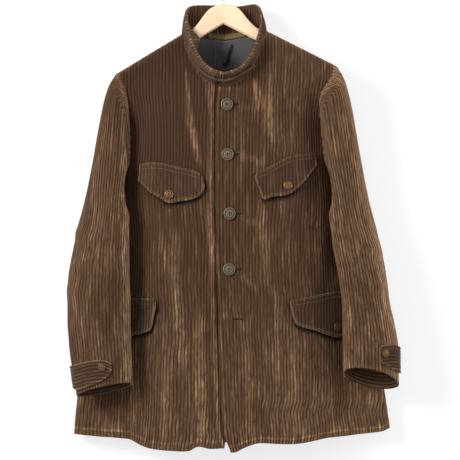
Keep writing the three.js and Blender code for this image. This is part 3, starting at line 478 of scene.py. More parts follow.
def crosses(points, quads):
    """For each quad, a vector along its normal with twice its area as length."""
    return np.cross(points[quads[:, 2]] - points[quads[:, 0]], points[quads[:, 3]] - points[quads[:, 1]])


def vertex_normals(points, quads):
    face = crosses(points, quads)
    normals = np.zeros_like(points)
    for corner in range(4):
        np.add.at(normals, quads[:, corner], face)
    return normals / np.maximum(np.linalg.norm(normals, axis=1), 1e-9)[:, None]


def open_edges(quads, count):
    edges = np.concatenate([quads[:, [i, (i + 1) % 4]] for i in range(4)])
    edges = edges[edges[:, 0] != edges[:, 1]]
    forward = edges[:, 0] * count + edges[:, 1]
    backward = edges[:, 1] * count + edges[:, 0]
    return edges[~np.isin(forward, backward)]


def quad_area(points, quads):
    return np.linalg.norm(crosses(points, quads), axis=1).sum() / 2


print("a grid of 3 by 4 points has", len(grid_faces(np.arange(12).reshape(3, 4))), "faces")


# %% From arrays to a mesh
def mesh_piece(name, points, faces, materials, indices=None, uv=None, wear_and_light=None, weld=None):
    """A mesh from arrays. Where weld is given, it names the point that each point is one with."""
    weld = np.arange(len(points)) if weld is None else weld
    corners, outlines = [], []
    for face, merged in zip(faces.tolist(), weld[faces].tolist()):
        once = {place: corner for place, corner in zip(merged, face)}
        outlines.append(list(once))
        corners += once.values()
    used, renamed = np.unique(np.concatenate(outlines), return_inverse=True)
    renamed = iter(renamed.tolist())
    outlines = [[next(renamed) for _ in outline] for outline in outlines]
    mesh = bpy.data.meshes.new(name)
    mesh.from_pydata((points[used] * MM).tolist(), [], outlines)
    piece = bpy.data.objects.new(name, mesh)
    bpy.context.scene.collection.objects.link(piece)
    for material in materials:
        mesh.materials.append(material)
    mesh.polygons.foreach_set("use_smooth", np.ones(len(mesh.polygons), bool))
    if indices is not None:
        mesh.polygons.foreach_set("material_index", indices)
    if uv is not None:
        mesh.uv_layers.new(name="Wales").data.foreach_set("uv", uv[corners].ravel())
    if wear_and_light is not None:
        mesh.attributes.new("wear_and_light", "FLOAT", "POINT").data.foreach_set("value", wear_and_light[used])
    mesh.update()
    return piece


print("meshes so far:", len(bpy.data.meshes))


# %% Walls of cloth
def cloth_piece(name, points, quads, relief, uv, wear_and_light, materials, thickness=CLOTH, trim=None):
    """A wall of cloth. Its outer face has the first material and its lining side the second."""
    normals = vertex_normals(points, quads)
    outer = points + normals * np.reshape(relief, (-1, 1))
    inner = points - normals * thickness
    if trim is not None:
        outer, inner = trim(outer), trim(inner)
    count = len(points)
    edges = open_edges(quads, count)
    rim = np.stack([edges[:, 0], edges[:, 0] + count, edges[:, 1] + count, edges[:, 1]], 1)
    faces = np.concatenate([quads, quads[:, ::-1] + count, rim])
    indices = np.repeat([0, 1, 0], [len(quads), len(quads), len(rim)])
    turned = np.stack([uv[:, 1] / WALE, uv[:, 0] * WALE], 1)
    piece = mesh_piece(
        f"{name}_cloth", np.vstack([outer, inner]), faces, materials, indices,
        np.vstack([uv, turned]), np.concatenate([wear_and_light, wear_and_light]),
    )
    return piece, quad_area(points, quads) * MM * MM


def settle(piece, nodes, flat=None, area=None):
    """Fastens a piece to the root body, hides the solids it stands for, and prints its flat size and area
    when given.
    """
    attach(piece, "root")
    if nodes:
        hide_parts(*nodes)
    if flat:
        print(piece.name, "flat", flat, "area", round(area, 5), "faces", len(piece.data.polygons))


print("the cloth is", CLOTH, "mm thick")


# %% [markdown]
# ## Building nodes in code
# A material's nodes could be placed by hand in the shader editor. In code the same nodes are made
# with nodes.new and joined with links.new, and three small helpers keep that readable.


# %% Helpers for nodes
def math_node(nodes, links, kind, first, second=None, clamp=False):
    node = nodes.new("ShaderNodeMath")
    node.operation = kind
    node.use_clamp = clamp
    for socket, value in zip(node.inputs, (first, second)):
        if value is None:
            continue
        if isinstance(value, (int, float)):
            socket.default_value = value
        else:
            links.new(value, socket)
    return node.outputs[0]


def mix_node(nodes, links, factor, first, second):
    node = nodes.new("ShaderNodeMix")
    node.data_type = "RGBA"
    for socket, value in zip((node.inputs[0], node.inputs[6], node.inputs[7]), (factor, first, second)):
        if isinstance(value, (int, float, tuple)):
            socket.default_value = value
        else:
            links.new(value, socket)
    return node.outputs[2]


def noise_node(nodes, links, vector, scale, detail=2.0, roughness=0.5):
    node = nodes.new("ShaderNodeTexNoise")
    node.inputs["Scale"].default_value = scale
    node.inputs["Detail"].default_value = detail
    node.inputs["Roughness"].default_value = roughness
    links.new(vector, node.inputs["Vector"])
    return node.outputs["Fac"]


def to_linear(value):
    return ((value / 255 + 0.055) / 1.055) ** 2.4 if value > 10 else value / 255 / 12.92


def rgb(red, green, blue):
    """A colour as a picture shows it, made linear."""
    return (to_linear(red), to_linear(green), to_linear(blue), 1.0)


print("a mid grey is", round(rgb(128, 128, 128)[0], 3), "as a linear value")

# %% [markdown]
# ## Corduroy
# All the corduroy shares one node group. It reads the wale count from the UV map, darkens the
# furrows, partly as painted shade, and breaks the ridges up with noise stretched along them,
# because worn pile lies in short tufts. Long streaks and wide patches are paler where the
# attribute for wear and light says so, partly as wear and partly as painted highlight, and where
# it is negative the pile is darkened as painted shade. Each material gives the group its own
# colours.

# %% The group for pile
# A near-black brown; mixed in where the value for wear and light is negative, it paints shade.
PAINTED_SHADE_COLOUR = (0.004, 0.0025, 0.0015, 1)


def corduroy_group():
    group = bpy.data.node_groups.new("corduroy_pile", "ShaderNodeTree")
    face = group.interface
    for name in ("Wales", "Place"):
        face.new_socket(name=name, in_out="INPUT", socket_type="NodeSocketVector")
    # This input holds wear, painted highlight and, below zero, painted shade.
    face.new_socket(name="Wear_and_light", in_out="INPUT", socket_type="NodeSocketFloat")
    for name in ("Furrow", "Ridge", "Worn_and_lit"):
        face.new_socket(name=name, in_out="INPUT", socket_type="NodeSocketColor")
    face.new_socket(name="Color", in_out="OUTPUT", socket_type="NodeSocketColor")
    face.new_socket(name="Height", in_out="OUTPUT", socket_type="NodeSocketFloat")
    nodes, links = group.nodes, group.links
    given = nodes.new("NodeGroupInput").outputs
    wear_and_light = given["Wear_and_light"]
    split = nodes.new("ShaderNodeSeparateXYZ")
    links.new(given["Wales"], split.inputs[0])
    count, down = split.outputs[0], split.outputs[1]

    def math_of(kind, first, second=None, clamp=False):
        return math_node(nodes, links, kind, first, second, clamp)

    def along_wales(across, length, detail, roughness):
        """Noise that changes across the wales at one rate and along them over a length."""
        place = nodes.new("ShaderNodeCombineXYZ")
        links.new(math_of("MULTIPLY", count, across), place.inputs[0])
        links.new(math_of("DIVIDE", down, length), place.inputs[1])
        return noise_node(nodes, links, place.outputs[0], 1.0, detail, roughness)

    def above(value, floor, gain):
        """How far a value lies above a floor, strengthened and kept within 0 and 1."""
        return math_of("MULTIPLY", math_of("SUBTRACT", value, floor), gain, clamp=True)

    def spread(value, gain):
        return math_of("MULTIPLY", math_of("SUBTRACT", value, 0.5), gain)

    tufts = along_wales(1.7, 20.0, 3.0, 0.65)
    hairs = along_wales(7.0, 1.1, 2.0, 0.6)
    streaks = along_wales(0.95, 70.0, 2.0, 0.6)
    patches = noise_node(nodes, links, given["Place"], 9.0, 3.0, 0.6)
    ridge = math_of("SINE", math_of("MULTIPLY", math_of("FRACT", count), math.pi))
    stretch = math_of("ADD", math_of("ADD", 1.0, spread(tufts, 1.1)), spread(hairs, 0.5))
    pile = math_of("MULTIPLY", math_of("POWER", ridge, 0.9), stretch, clamp=True)
    dimming = math_of("ADD", math_of("MULTIPLY", streaks, 1.1), 0.45)
    pile_shade = math_of("MULTIPLY", pile, dimming, clamp=True)
    # The furrows' darker colour is partly the bare ground weave and partly painted shade.
    shade = mix_node(nodes, links, pile_shade, given["Furrow"], given["Ridge"])
    flattened = mix_node(nodes, links, 0.42, given["Furrow"], given["Ridge"])
    matted = math_of("MULTIPLY", above(patches, 0.44, 2.6), 0.5)
    shade = mix_node(nodes, links, matted, shade, flattened)
    faded = math_of("MULTIPLY", above(patches, 0.45, 1.6), 0.3)
    # Paler pile from here on is partly wear and partly painted highlight.
    wear_and_light_amount = math_of("MULTIPLY", math_of("ADD", faded, wear_and_light), 0.75)
    lit = math_of("ADD", math_of("MULTIPLY", wear_and_light, 1.1), 0.3)
    wear_and_light_amount = math_of("ADD", wear_and_light_amount, math_of("MULTIPLY", above(streaks, 0.52, 5.0), lit))
    wear_and_light_amount = math_of("MULTIPLY", wear_and_light_amount, above(tufts, 0.25, 2.0))
    wear_and_light_amount = math_of("MULTIPLY", wear_and_light_amount, pile, clamp=True)
    shade = mix_node(nodes, links, wear_and_light_amount, shade, given["Worn_and_lit"])
    # Where the value is negative, shade is painted by mixing towards the near-black brown.
    painted_shade = math_of("MULTIPLY", wear_and_light, -0.85, clamp=True)
    shade = mix_node(nodes, links, painted_shade, shade, PAINTED_SHADE_COLOUR)
    result = nodes.new("NodeGroupOutput").inputs
    links.new(shade, result["Color"])
    links.new(math_of("ADD", math_of("MULTIPLY", tufts, 0.5), hairs), result["Height"])
    return group


PILE = corduroy_group()
print("the pile group has", len(PILE.nodes), "nodes")


# %% [markdown]
# ## Materials
# A material holds the Principled shader and what is the same all over the surface, such as its
# roughness. Sheen on the shader gives the glow of pile, which is strongest where the cloth turns
# away from the eye. Threads, lining, wood and metal are plain finishes with a fine grain.

# %% Kinds of material
def principled(name):
    material = bpy.data.materials.new(name)
    material.use_nodes = True
    tree = material.node_tree
    return material, tree.nodes, tree.links, tree.nodes["Principled BSDF"]


def bump_into(nodes, links, shader, height, distance, strength=1.0):
    bump = nodes.new("ShaderNodeBump")
    bump.inputs["Distance"].default_value = distance
    bump.inputs["Strength"].default_value = strength
    links.new(height, bump.inputs["Height"])
    links.new(bump.outputs[0], shader.inputs["Normal"])


def corduroy(name, furrow, ridge, worn, sheen=0.3):
    material, nodes, links, shader = principled(name)
    group = nodes.new("ShaderNodeGroup")
    group.node_tree = PILE
    wales = nodes.new("ShaderNodeUVMap")
    wales.uv_map = "Wales"
    links.new(wales.outputs[0], group.inputs["Wales"])
    links.new(nodes.new("ShaderNodeTexCoord").outputs["Object"], group.inputs["Place"])
    # The attribute holds wear, painted highlight and, below zero, painted shade.
    wear_and_light = nodes.new("ShaderNodeAttribute")
    wear_and_light.attribute_name = "wear_and_light"
    links.new(wear_and_light.outputs["Fac"], group.inputs["Wear_and_light"])
    # The third colour is for worn pile and for painted highlight.
    for socket, value in (("Furrow", furrow), ("Ridge", ridge), ("Worn_and_lit", worn)):
        group.inputs[socket].default_value = value
    links.new(group.outputs["Color"], shader.inputs["Base Color"])
    shader.inputs["Roughness"].default_value = 0.92
    shader.inputs["Specular IOR Level"].default_value = 0.12
    shader.inputs["Sheen Weight"].default_value = sheen
    shader.inputs["Sheen Roughness"].default_value = 0.4
    shader.inputs["Sheen Tint"].default_value = (0.9, 0.66, 0.45, 1)
    bump_into(nodes, links, shader, group.outputs["Height"], 0.0005, 0.8)
    return material


def plain(name, colour, roughness, metallic=0.0, scale=600.0, distance=0.0001, second=None):
    """A plain finish, mottled by a noise on the object's own coordinates."""
    material, nodes, links, shader = principled(name)
    place = nodes.new("ShaderNodeTexCoord").outputs["Object"]
    grain = noise_node(nodes, links, place, scale, 3.0, 0.6)
    if second is not None:
        links.new(mix_node(nodes, links, grain, colour, second), shader.inputs["Base Color"])
    else:
        shader.inputs["Base Color"].default_value = colour
    shader.inputs["Roughness"].default_value = roughness
    shader.inputs["Metallic"].default_value = metallic
    bump_into(nodes, links, shader, grain, distance)
    return material


print("materials before the first:", len(bpy.data.materials))

# %% Finishes
CORDUROY = corduroy("corduroy", rgb(39, 26, 18), rgb(81, 57, 41), rgb(196, 154, 114))
COLLAR_PILE = corduroy("corduroy_collar", rgb(34, 22, 15), rgb(78, 55, 40), rgb(186, 146, 107))
TRIM_PILE = corduroy("corduroy_trim", rgb(36, 24, 17), rgb(78, 56, 41), rgb(172, 138, 106))
FACING = corduroy("corduroy_facing", rgb(28, 19, 13), rgb(88, 66, 48), rgb(130, 100, 74), 0.1)
LINING = plain("lining", rgb(66, 64, 66), 0.9, scale=1400.0, distance=0.00015, second=rgb(94, 91, 92))
TAPE = plain("tape", rgb(16, 15, 15), 0.8, scale=1800.0, distance=0.0002)
LABEL = plain("label", rgb(136, 116, 62), 0.75, scale=330.0, distance=0.0003, second=rgb(10, 7, 4))
THREAD = plain("thread", rgb(140, 111, 80), 0.8, scale=2500.0)
# A near-black bar that paints the shade inside each buttonhole.
SLIT_SHADE = plain("buttonhole_slit_shade", rgb(14, 9, 6), 0.9, scale=2500.0)
PALE_THREAD = plain("pale_thread", rgb(136, 132, 130), 0.8, scale=2500.0)
DARK_THREAD = plain("dark_thread", rgb(66, 47, 34), 0.8, scale=2500.0)
PEWTER = plain("pewter", rgb(146, 132, 106), 0.55, 0.7, 900.0, 0.00008, rgb(84, 74, 60))
PATINA = plain("patina", rgb(62, 53, 40), 0.6, 0.5, 900.0, 0.00008, rgb(38, 30, 22))
BRASS = plain("brass", rgb(168, 128, 84), 0.42, 0.85, 900.0, 0.00008, rgb(92, 64, 40))
STEEL = plain("steel", rgb(150, 152, 155), 0.3, 0.95)
CLOTHES = [CORDUROY, LINING, FACING]
print("materials:", len(bpy.data.materials))

# %% [markdown]
# ## Laying out a front or a back
# A torso panel is laid out in columns. They start at its front edge, or at the middle of the
# back, spread to the armhole, then cross the slack at the side and turn round the side fold. The
# rows run from the hem to the armhole's foot, and on from there to the neckline or the shoulder.

# %% Columns of a panel
EDGE, FLAT, SIDE, FOLD = range(4)


def panel_point(kind, value, sign, drop, panel):
    """Points of a panel: value is the share of the way across the column's kind of stretch."""
    centre, valley = centre_at(drop), valley_at[sign](drop)
    edge = half_at(drop) - FOLD_RADIUS
    start = sign * (panel["edge"](drop) - centre)
    out = np.select(
        [kind == EDGE, kind == FLAT, kind == SIDE],
        [lerp(start, SHARED_FROM * valley, value), value * valley, lerp(valley, edge, value)],
        edge,
    )
    x = centre + sign * out
    y = panel["surface"](x, drop)
    angle = value * math.pi / 2
    fold_x = centre + sign * (edge + FOLD_RADIUS * np.sin(angle))
    fold_y = FOLD_Y + panel["facing"] * FOLD_RADIUS * np.cos(angle)
    turned = kind == FOLD
    return np.stack([np.where(turned, fold_x, x), np.where(turned, fold_y, y), -drop], -1)


def column_top(kind, value, sign, panel):
    edge = half_at(ARMHOLE_DROP) - FOLD_RADIUS
    flat = edge - valley_at[sign](ARMHOLE_DROP)
    whole = flat + FOLD_RADIUS * math.pi / 2
    reached = np.where(kind == SIDE, flat * value, flat + FOLD_RADIUS * value * math.pi / 2)
    under_arm = ARMHOLE_DROP + ARMHOLE_DEPTH * np.sin(np.arccos(np.clip(1 - reached / whole, -1, 1)))
    drop = np.full(value.shape, 180.0)
    is_neck = (kind == EDGE) | ((kind == FLAT) & (value < CORNER))
    for _ in range(14):
        x = panel_point(kind, value, sign, drop, panel)[:, 0]
        out = np.minimum(np.abs(x - NECK_CENTRE), NECK_HALF)
        drop = shoulder_drop(x) + np.where(is_neck, panel["neck"](out), 0)
    return np.where(kind >= SIDE, under_arm, drop)


def column_list(edge_count, flat_count, side_count, fold_count):
    """The kind of each column and its share of the way across that kind of stretch."""
    stretches = (
        (EDGE, np.linspace(0, 1, edge_count, endpoint=False)),
        (FLAT, np.linspace(SHARED_FROM if edge_count else 0, 1, flat_count, endpoint=False)),
        (SIDE, np.linspace(0, 1, side_count, endpoint=False)),
        (FOLD, np.linspace(0, 1, fold_count)),
    )
    kinds = np.concatenate([np.full(len(shares), kind) for kind, shares in stretches])
    return kinds, np.concatenate([shares for _, shares in stretches])


BACK_COLUMNS = column_list(0, 112, 22, 14)
print("columns from the middle of the back to its side:", len(BACK_COLUMNS[0]))


# %% [markdown]
# ## Points of a panel
# Where a front meets the back, at the shoulder and at the side, both are kept off the seam by
# half a gap, as two pieces of cloth are. The rows lie closer together near the hem, where the
# stitching needs them.

# %% Grid of a panel
ROW_EASE = 1.12


def trim_to(facing):
    """Keeps a front and the back apart at the shoulder seam and at the side seam."""
    def trim(points):
        x, y, drop = points[:, 0], points[:, 1], -points[:, 2]
        shoulder = drop - shoulder_drop(x) < SHOULDER_ROUND
        plane = np.where(shoulder, ridge_y(x), FOLD_Y) + facing * SEAM / 2
        kept = np.minimum(y, plane) if facing < 0 else np.maximum(y, plane)
        points = points.copy()
        points[:, 1] = np.where(shoulder | (drop > ARMHOLE_DROP), kept, y)
        return points
    return trim


def torso_grid(sign, panel, columns, lower, upper):
    """Points, faces and the distance above the hem for one side of a torso panel."""
    kind, value = columns
    top = column_top(kind, value, sign, panel)
    middle = np.where(kind >= SIDE, top, ARMHOLE_DROP)
    hem = panel["hem"](panel_point(kind, value, sign, np.full(value.shape, 880.0), panel)[:, 0])
    share = np.linspace(0, 1, lower) ** ROW_EASE
    drops = lerp(hem[:, None], middle[:, None], share[None, :])
    low = panel_point(kind[:, None], value[:, None], sign, drops, panel)
    ids = grid_ids(low)
    flat = kind < SIDE
    rise = 1 - (1 - np.linspace(0, 1, upper)) ** 1.35
    high_drops = lerp(ARMHOLE_DROP, top[flat][:, None], rise[None, 1:])
    high = panel_point(kind[flat][:, None], value[flat][:, None], sign, high_drops, panel)
    high_ids = ids.size + grid_ids(high)
    joined = np.concatenate([ids[flat][:, -1:], high_ids], 1)
    order = slice(None) if sign * panel["facing"] < 0 else slice(None, None, -1)
    faces = [grid_faces(ids[order]), grid_faces(joined[order])]
    points = np.concatenate([low.reshape(-1, 3), high.reshape(-1, 3)])
    every_kind = np.concatenate([np.repeat(kind, lower), np.repeat(kind[flat], upper - 1)])
    every_value = np.concatenate([np.repeat(value, lower), np.repeat(value[flat], upper - 1)])
    to_hem = np.concatenate([(hem[:, None] - drops).ravel(), (hem[flat][:, None] - high_drops).ravel()])
    to_top = np.concatenate([(drops - top[:, None]).ravel(), (high_drops - top[flat][:, None]).ravel()])
    return points, np.concatenate(faces), every_kind, every_value, to_hem, to_top


print("the gap at a seam is", SEAM, "mm")


# %% [markdown]
# ## Wales, wear and painted light of a panel
# The wales of a front run with its lapped edge and drift a little. Pile wears off along the hem
# and along the edges, and is paler where a fold stands out, partly as wear and partly as painted
# highlight. Some rows of wales are painted bright from the collar down, partly as wear and partly
# as painted highlight, and those are placed one by one. Shadow is painted under the free edges of
# the flaps, so the flaps' outlines are needed here already.

# %% Flaps' outlines
FLAPS = {
    "chest_flap_right": table(
        "x top bottom",
        (-157, 368, 398), (-140, 365, 418), (-123, 365, 430), (-103, 369, 442), (-83, 374, 439),
        (-65, 378, 436), (-50, 383, 431), (-41, 389, 421), (-37.5, 397, 410),
    ),
    "chest_flap_left": table(
        "x top bottom",
        (62, 385, 392), (70, 381, 416), (75, 379, 434), (90, 371, 430), (121, 355, 426),
        (140, 349.5, 413), (157, 347, 392), (169, 347, 376), (174, 354, 367),
    ),
    "hip_flap_right": table(
        "x top bottom",
        (-238, 628, 668), (-232, 626, 680), (-208, 624, 690), (-185, 623.5, 697),
        (-167, 623, 693), (-142, 623, 686), (-134, 623, 679), (-128, 624, 645),
    ),
    "hip_flap_left": table(
        "x top bottom",
        (128, 626, 634), (133, 625, 656), (138, 624, 672), (175, 617.5, 685), (213, 610, 698),
        (232, 611, 692), (250, 613, 680), (255, 615, 664),
    ),
}
for flap_name, flap_rows in FLAPS.items():
    print(flap_name, "is", np.ptp(flap_rows["x"]), "mm wide")


# %% Wear, painted highlight and painted shadow
def wander(x, drop):
    """Wales never run quite straight: sideways drift in millimetres."""
    return 3.0 * noise(x / 60 + 3, drop / 110) + 0.7 * noise(x / 30, drop / 45 + 40)


def wale_count(points, kind, value, arc, lean):
    """Wales between the front edge and each point, leaning with the edge where that drifts."""
    x, drop = points[:, 0], -points[:, 2]
    edge = half_at(drop) - FOLD_RADIUS
    centre = centre_at(drop)
    side = np.sign(x - centre)
    flat_x = np.where(kind == FOLD, centre + side * edge, x)
    length = arc(flat_x, drop) + np.where(kind == FOLD, FOLD_RADIUS * value * math.pi / 2, 0)
    drift = lean(drop) * (1 - smooth(np.abs(x), 0, 150))
    return (length - drift + wander(x, drop) * smooth(np.abs(x), 0, 40)) / WALE


# Streaks along some folds: paler pile, partly wear and partly painted highlight.
WORN_AND_LIT_STREAKS = (
    (-73, 185, -63, 268, 0, 0.9, 3, 3),
    (-64, 255, -43, 378, -3, 0.85, 5, 6),
    (87, 172, 90, 345, 0, 0.9, 3, 3.5),
    (58, 206, 66, 272, 0, 0.7, 3, 3),
    (-31, 210, -25, 272, 0, 0.5, 4, 4),
)


def fold_wear_and_highlight(folds, limit, x, drop):
    """Pile is paler where a fold stands out, partly as wear and partly as painted highlight, and paler
    towards the hem and the wearer's left.
    """
    proud = fold_relief(folds, x, drop) + 1.4 * noise(x / 34 + 7, drop / 190)
    lighter = 0.16 * smooth(drop, 560, 860) + (0.06 + 0.1 * smooth(drop, 620, 760)) * smooth(x, 20, 140)
    return limit * smooth(proud, 1, 6) + lighter


def front_wear_and_light(x, drop):
    """In front, pile is rubbed beside the lapped edge, paler along the streaks, and darker on the wearer's
    right chest as painted shade.
    """
    beside = 0.5 * np.exp(-(((x - over_edge_at(drop) + 8.5) / 4.5) ** 2))
    shaded = 0.17 * smooth(-x, 15, 60) * (1 - smooth(drop, 370, 470))
    return fold_wear_and_highlight(FRONT_FOLDS, 0.5, x, drop) + beside + fold_relief(WORN_AND_LIT_STREAKS, x, drop) - shaded


def back_wear_and_highlight(x, drop):
    return fold_wear_and_highlight(BACK_FOLDS, 0.25, x, drop)


def painted_flap_shadow(x, drop):
    """Shadow painted under the flaps' free edges."""
    total = 0 * x
    for rows in FLAPS.values():
        first, last = rows["x"][0], rows["x"][-1]
        top, bottom = curve(rows, "x", "top")(x), curve(rows, "x", "bottom")(x)
        beyond = np.maximum(np.maximum(first - x, x - last - 1), 0)
        below = np.maximum(drop - bottom - 1, 0) + np.maximum(top - drop, 0)
        near = np.exp(-((np.hypot(beyond, below) / 4.5) ** 2)) * smooth(drop - top, -2, 14)
        total = np.maximum(total, near)
    return total


print("streaks of bright wales:", len(WORN_AND_LIT_STREAKS))


# %% [markdown]
# ## Dressing a panel
# Now the two fronts and the back can be built. Each side of a panel becomes a grid, its points
# are lifted by the pile, dented by the rows of stitches, and flattened towards the raw edges.
# The back is made of two sides that are welded along its middle.

# %% A panel in full
def stitched(distance, at, width=1.3, depth=0.7):
    """The dent that a row of stitches pulls into the pile."""
    return -depth * np.exp(-((distance - at) / width) ** 2)


FAR_FROM_EDGE = 99.0


def dress_panel(name, sides, arc, lean, flat, hem_stitch):
    points, faces, uv, relief, wear_and_light = [], [], [], [], []
    start = 0
    for sign, panel, columns, lower, upper in sides:
        place, quads, kind, value, to_hem, to_top = torso_grid(sign, panel, columns, lower, upper)
        count = wale_count(place, kind, value, arc[sign], lean)
        down = -place[:, 2]
        to_edge = np.full(len(place), FAR_FROM_EDGE)
        if panel["facing"] < 0:
            to_edge = np.abs(place[:, 0] - panel["edge"](down))
        height = wale_relief(count, down) + stitched(to_hem, hem_stitch) + stitched(to_edge, 6, 1.2, 0.5)
        height *= smooth(np.minimum(to_hem, np.minimum(to_edge, to_top + 1)), -1.5, 2.5)
        points.append(place)
        faces.append(quads + start)
        uv.append(np.stack([count, down], 1))
        relief.append(height)
        wear_and_light_amount = 0.35 * np.exp(-to_hem / 3) + 0.2 * np.exp(-to_edge / 2.5)
        wear_and_light_amount += 0.7 * np.exp(-(((to_hem - hem_stitch - 2.5) / 2) ** 2))
        wear_and_light_amount += 0.3 * np.exp(-np.maximum(to_top, 0) / 6)
        if panel["facing"] < 0:
            # Beside the flaps, shadow is painted by pushing the value below zero.
            wear_and_light_amount += front_wear_and_light(place[:, 0], down) - 1.6 * painted_flap_shadow(place[:, 0], down)
        else:
            wear_and_light_amount += back_wear_and_highlight(place[:, 0], down)
        wear_and_light.append(wear_and_light_amount)
        start += len(place)
    points, faces = np.concatenate(points), np.concatenate(faces)
    _, first, same = np.unique(np.round(points, 3), axis=0, return_index=True, return_inverse=True)
    faces = same.ravel()[faces]
    relief, uv, wear_and_light = (np.concatenate(values)[first] for values in (relief, uv, wear_and_light))
    piece, area = cloth_piece(
        name, points[first], faces, relief, uv, np.clip(wear_and_light, -1, 1), CLOTHES,
        trim=trim_to(sides[0][1]["facing"]),
    )
    settle(piece, [name], flat, area)


print("stitches dent the pile by", -float(stitched(0, 0)), "mm")

# %% Fronts and back
FRONT_PANELS = {
    -1: {"facing": -1, "surface": front_y, "neck": neck_front_at,
         "hem": curve(HEM_RIGHT, "x", "drop"), "edge": under_edge_at},
    1: {"facing": -1, "surface": left_front_y, "neck": neck_front_at,
        "hem": curve(HEM_LEFT, "x", "drop"), "edge": over_edge_at},
}
BACK_PANEL = {"facing": 1, "surface": back_y, "neck": neck_back_at,
              "hem": curve(HEM_BACK, "x", "drop"), "edge": centre_at}
front_arc = {sign: arc_map(FRONT_PANELS[sign]["surface"], sign) for sign in (-1, 1)}
back_arc = {sign: arc_map(back_y, sign) for sign in (-1, 1)}


def straight(drop):
    return 0 * drop


def with_the_edge(drop):
    return over_edge_at(drop) + 13


dress_panel("front_right", [(-1, FRONT_PANELS[-1], column_list(56, 128, 34, 22), 108, 54)],
            front_arc, straight, (0.36, 0.82), 10)
dress_panel("front_left", [(1, FRONT_PANELS[1], column_list(52, 130, 36, 22), 108, 54)],
            front_arc, with_the_edge, (0.36, 0.82), 7)
dress_panel("back", [(sign, BACK_PANEL, BACK_COLUMNS, 84, 40) for sign in (-1, 1)],
            back_arc, straight, (0.7, 0.86), 9)

# %% [markdown]
# ## How a sleeve hangs
# A tube from Blender's cylinder would have level rings and no elbow. A hung sleeve is flat and
# bent, so it is measured as rings at five heights: its inner and outer edge, how far it is deep
# and how much its middle rides up. A second pair of tables says how the cloth leaves the armhole.

# %% Rings of the sleeves
SLEEVE_COLUMNS = "along inner inner_drop inner_y outer outer_drop outer_y depth rise"
SLEEVES = {
    -1: table(
        SLEEVE_COLUMNS,
        (0, -180, 470, -46, -274, 474, -10, 38, 0),
        (0.25, -179, 552, -45, -290, 558, -22, 38, 1),
        (0.5, -177, 632, -45, -296, 641, -30, 37, 2),
        (0.75, -175, 710, -45, -291, 724, -36, 35, 4),
        (1, -173, 785, -45, -279, 808, -38, 31, 8),
    ),
    1: table(
        SLEEVE_COLUMNS,
        (0, 201, 470, -46, 284, 466, -10, 39, 0),
        (0.25, 211, 545, -46, 303, 548, -22, 40, 3),
        (0.5, 224, 618, -46, 315, 628, -30, 39, 7),
        (0.75, 226, 690, -46, 330, 706, -36, 37, 12),
        (1, 227, 764, -46, 333, 786, -38, 33, 18),
    ),
}
ARMHOLE_FRONT = table(
    "along girth out forward down fade",
    (0, 0, 178, 10, 110, 3),
    (0.2, 0.3, 80, 120, 110, 2.4),
    (0.42, 0.44, 16, 190, 110, 2),
    (0.7, 0.62, 8, 200, 70, 2),
    (0.86, 0.86, 30, 140, 40, 2),
    (0.94, 1, 60, 90, 40, 2),
    (1, 1.12, 88, 20, 40, 2),
)
ARMHOLE_BACK = table(
    "along girth out forward down fade",
    (0, 2, 178, 10, 110, 3),
    (0.2, 1.74, 130, -30, 120, 2.4),
    (0.42, 1.6, 130, -15, 130, 2),
    (0.7, 1.46, 180, -5, 90, 2),
    (0.86, 1.33, 200, 0, 60, 2),
    (0.94, 1.22, 150, 10, 50, 2),
    (1, 1.12, 88, 20, 40, 2),
)
ARMHOLE_RUN_DOWN = 120
TUCK = 1.6
HEAD_LEAN = {-1: 0.0, 1: 0.1}
SLEEVE_WALE = 0.97
CUFF_FACING = 34
print("the wearer's right cuff is", SLEEVES[-1]["inner"][-1] - SLEEVES[-1]["outer"][-1], "mm wide")

# %% Folds of the sleeves
# A fold lies at a share of the girth and of the length, and leans by a share of girth along it.
SLEEVE_FOLDS = {
    -1: table(
        "girth along lean height girth_width along_width",
        (0.42, 0.03, 0.3, -4, 0.12, 0.07),
        (0.3, 0.1, 1.2, 5, 0.3, 0.035),
        (0.62, 0.17, 1.0, -4, 0.22, 0.03),
        (0.35, 0.24, -1.4, 5, 0.25, 0.04),
        (0.66, 0.33, 1.6, 4, 0.2, 0.035),
        (0.25, 0.42, 1.0, 4, 0.25, 0.05),
        (0.55, 0.55, -0.5, 4, 0.13, 0.1),
        (0.3, 0.72, 0.3, -3, 0.12, 0.12),
        (0.7, 0.8, 0.3, 3, 0.1, 0.12),
        (-0.4, 0.3, 1, 4, 0.3, 0.05),
        (-0.5, 0.6, 0.5, 4, 0.2, 0.1),
    ),
    1: table(
        "girth along lean height girth_width along_width",
        (0.4, 0.04, 0.4, -4, 0.12, 0.08),
        (0.62, 0.1, -1.2, 5, 0.22, 0.035),
        (0.3, 0.2, 1.0, 4, 0.25, 0.04),
        (0.6, 0.3, 1.5, -4, 0.22, 0.035),
        (0.4, 0.42, -1.2, 5, 0.25, 0.045),
        (0.7, 0.55, 0.4, 4, 0.1, 0.1),
        (0.35, 0.68, 0.3, -3, 0.12, 0.12),
        (-0.4, 0.35, 1, 4, 0.3, 0.05),
        (-0.5, 0.65, 0.5, 4, 0.2, 0.1),
    ),
}
print("elbow folds and drag lines:", sum(len(folds["girth"]) for folds in SLEEVE_FOLDS.values()))


# %% [markdown]
# ## Points on a sleeve
# A place on a sleeve is given by its share of the girth and of the length. Girth 0 is the outer
# edge and 1 the inner one, where the arm hangs in front of the body's side and the cloth rolls
# forward over the seam. The head is a curve from each point of the armhole to the first ring.

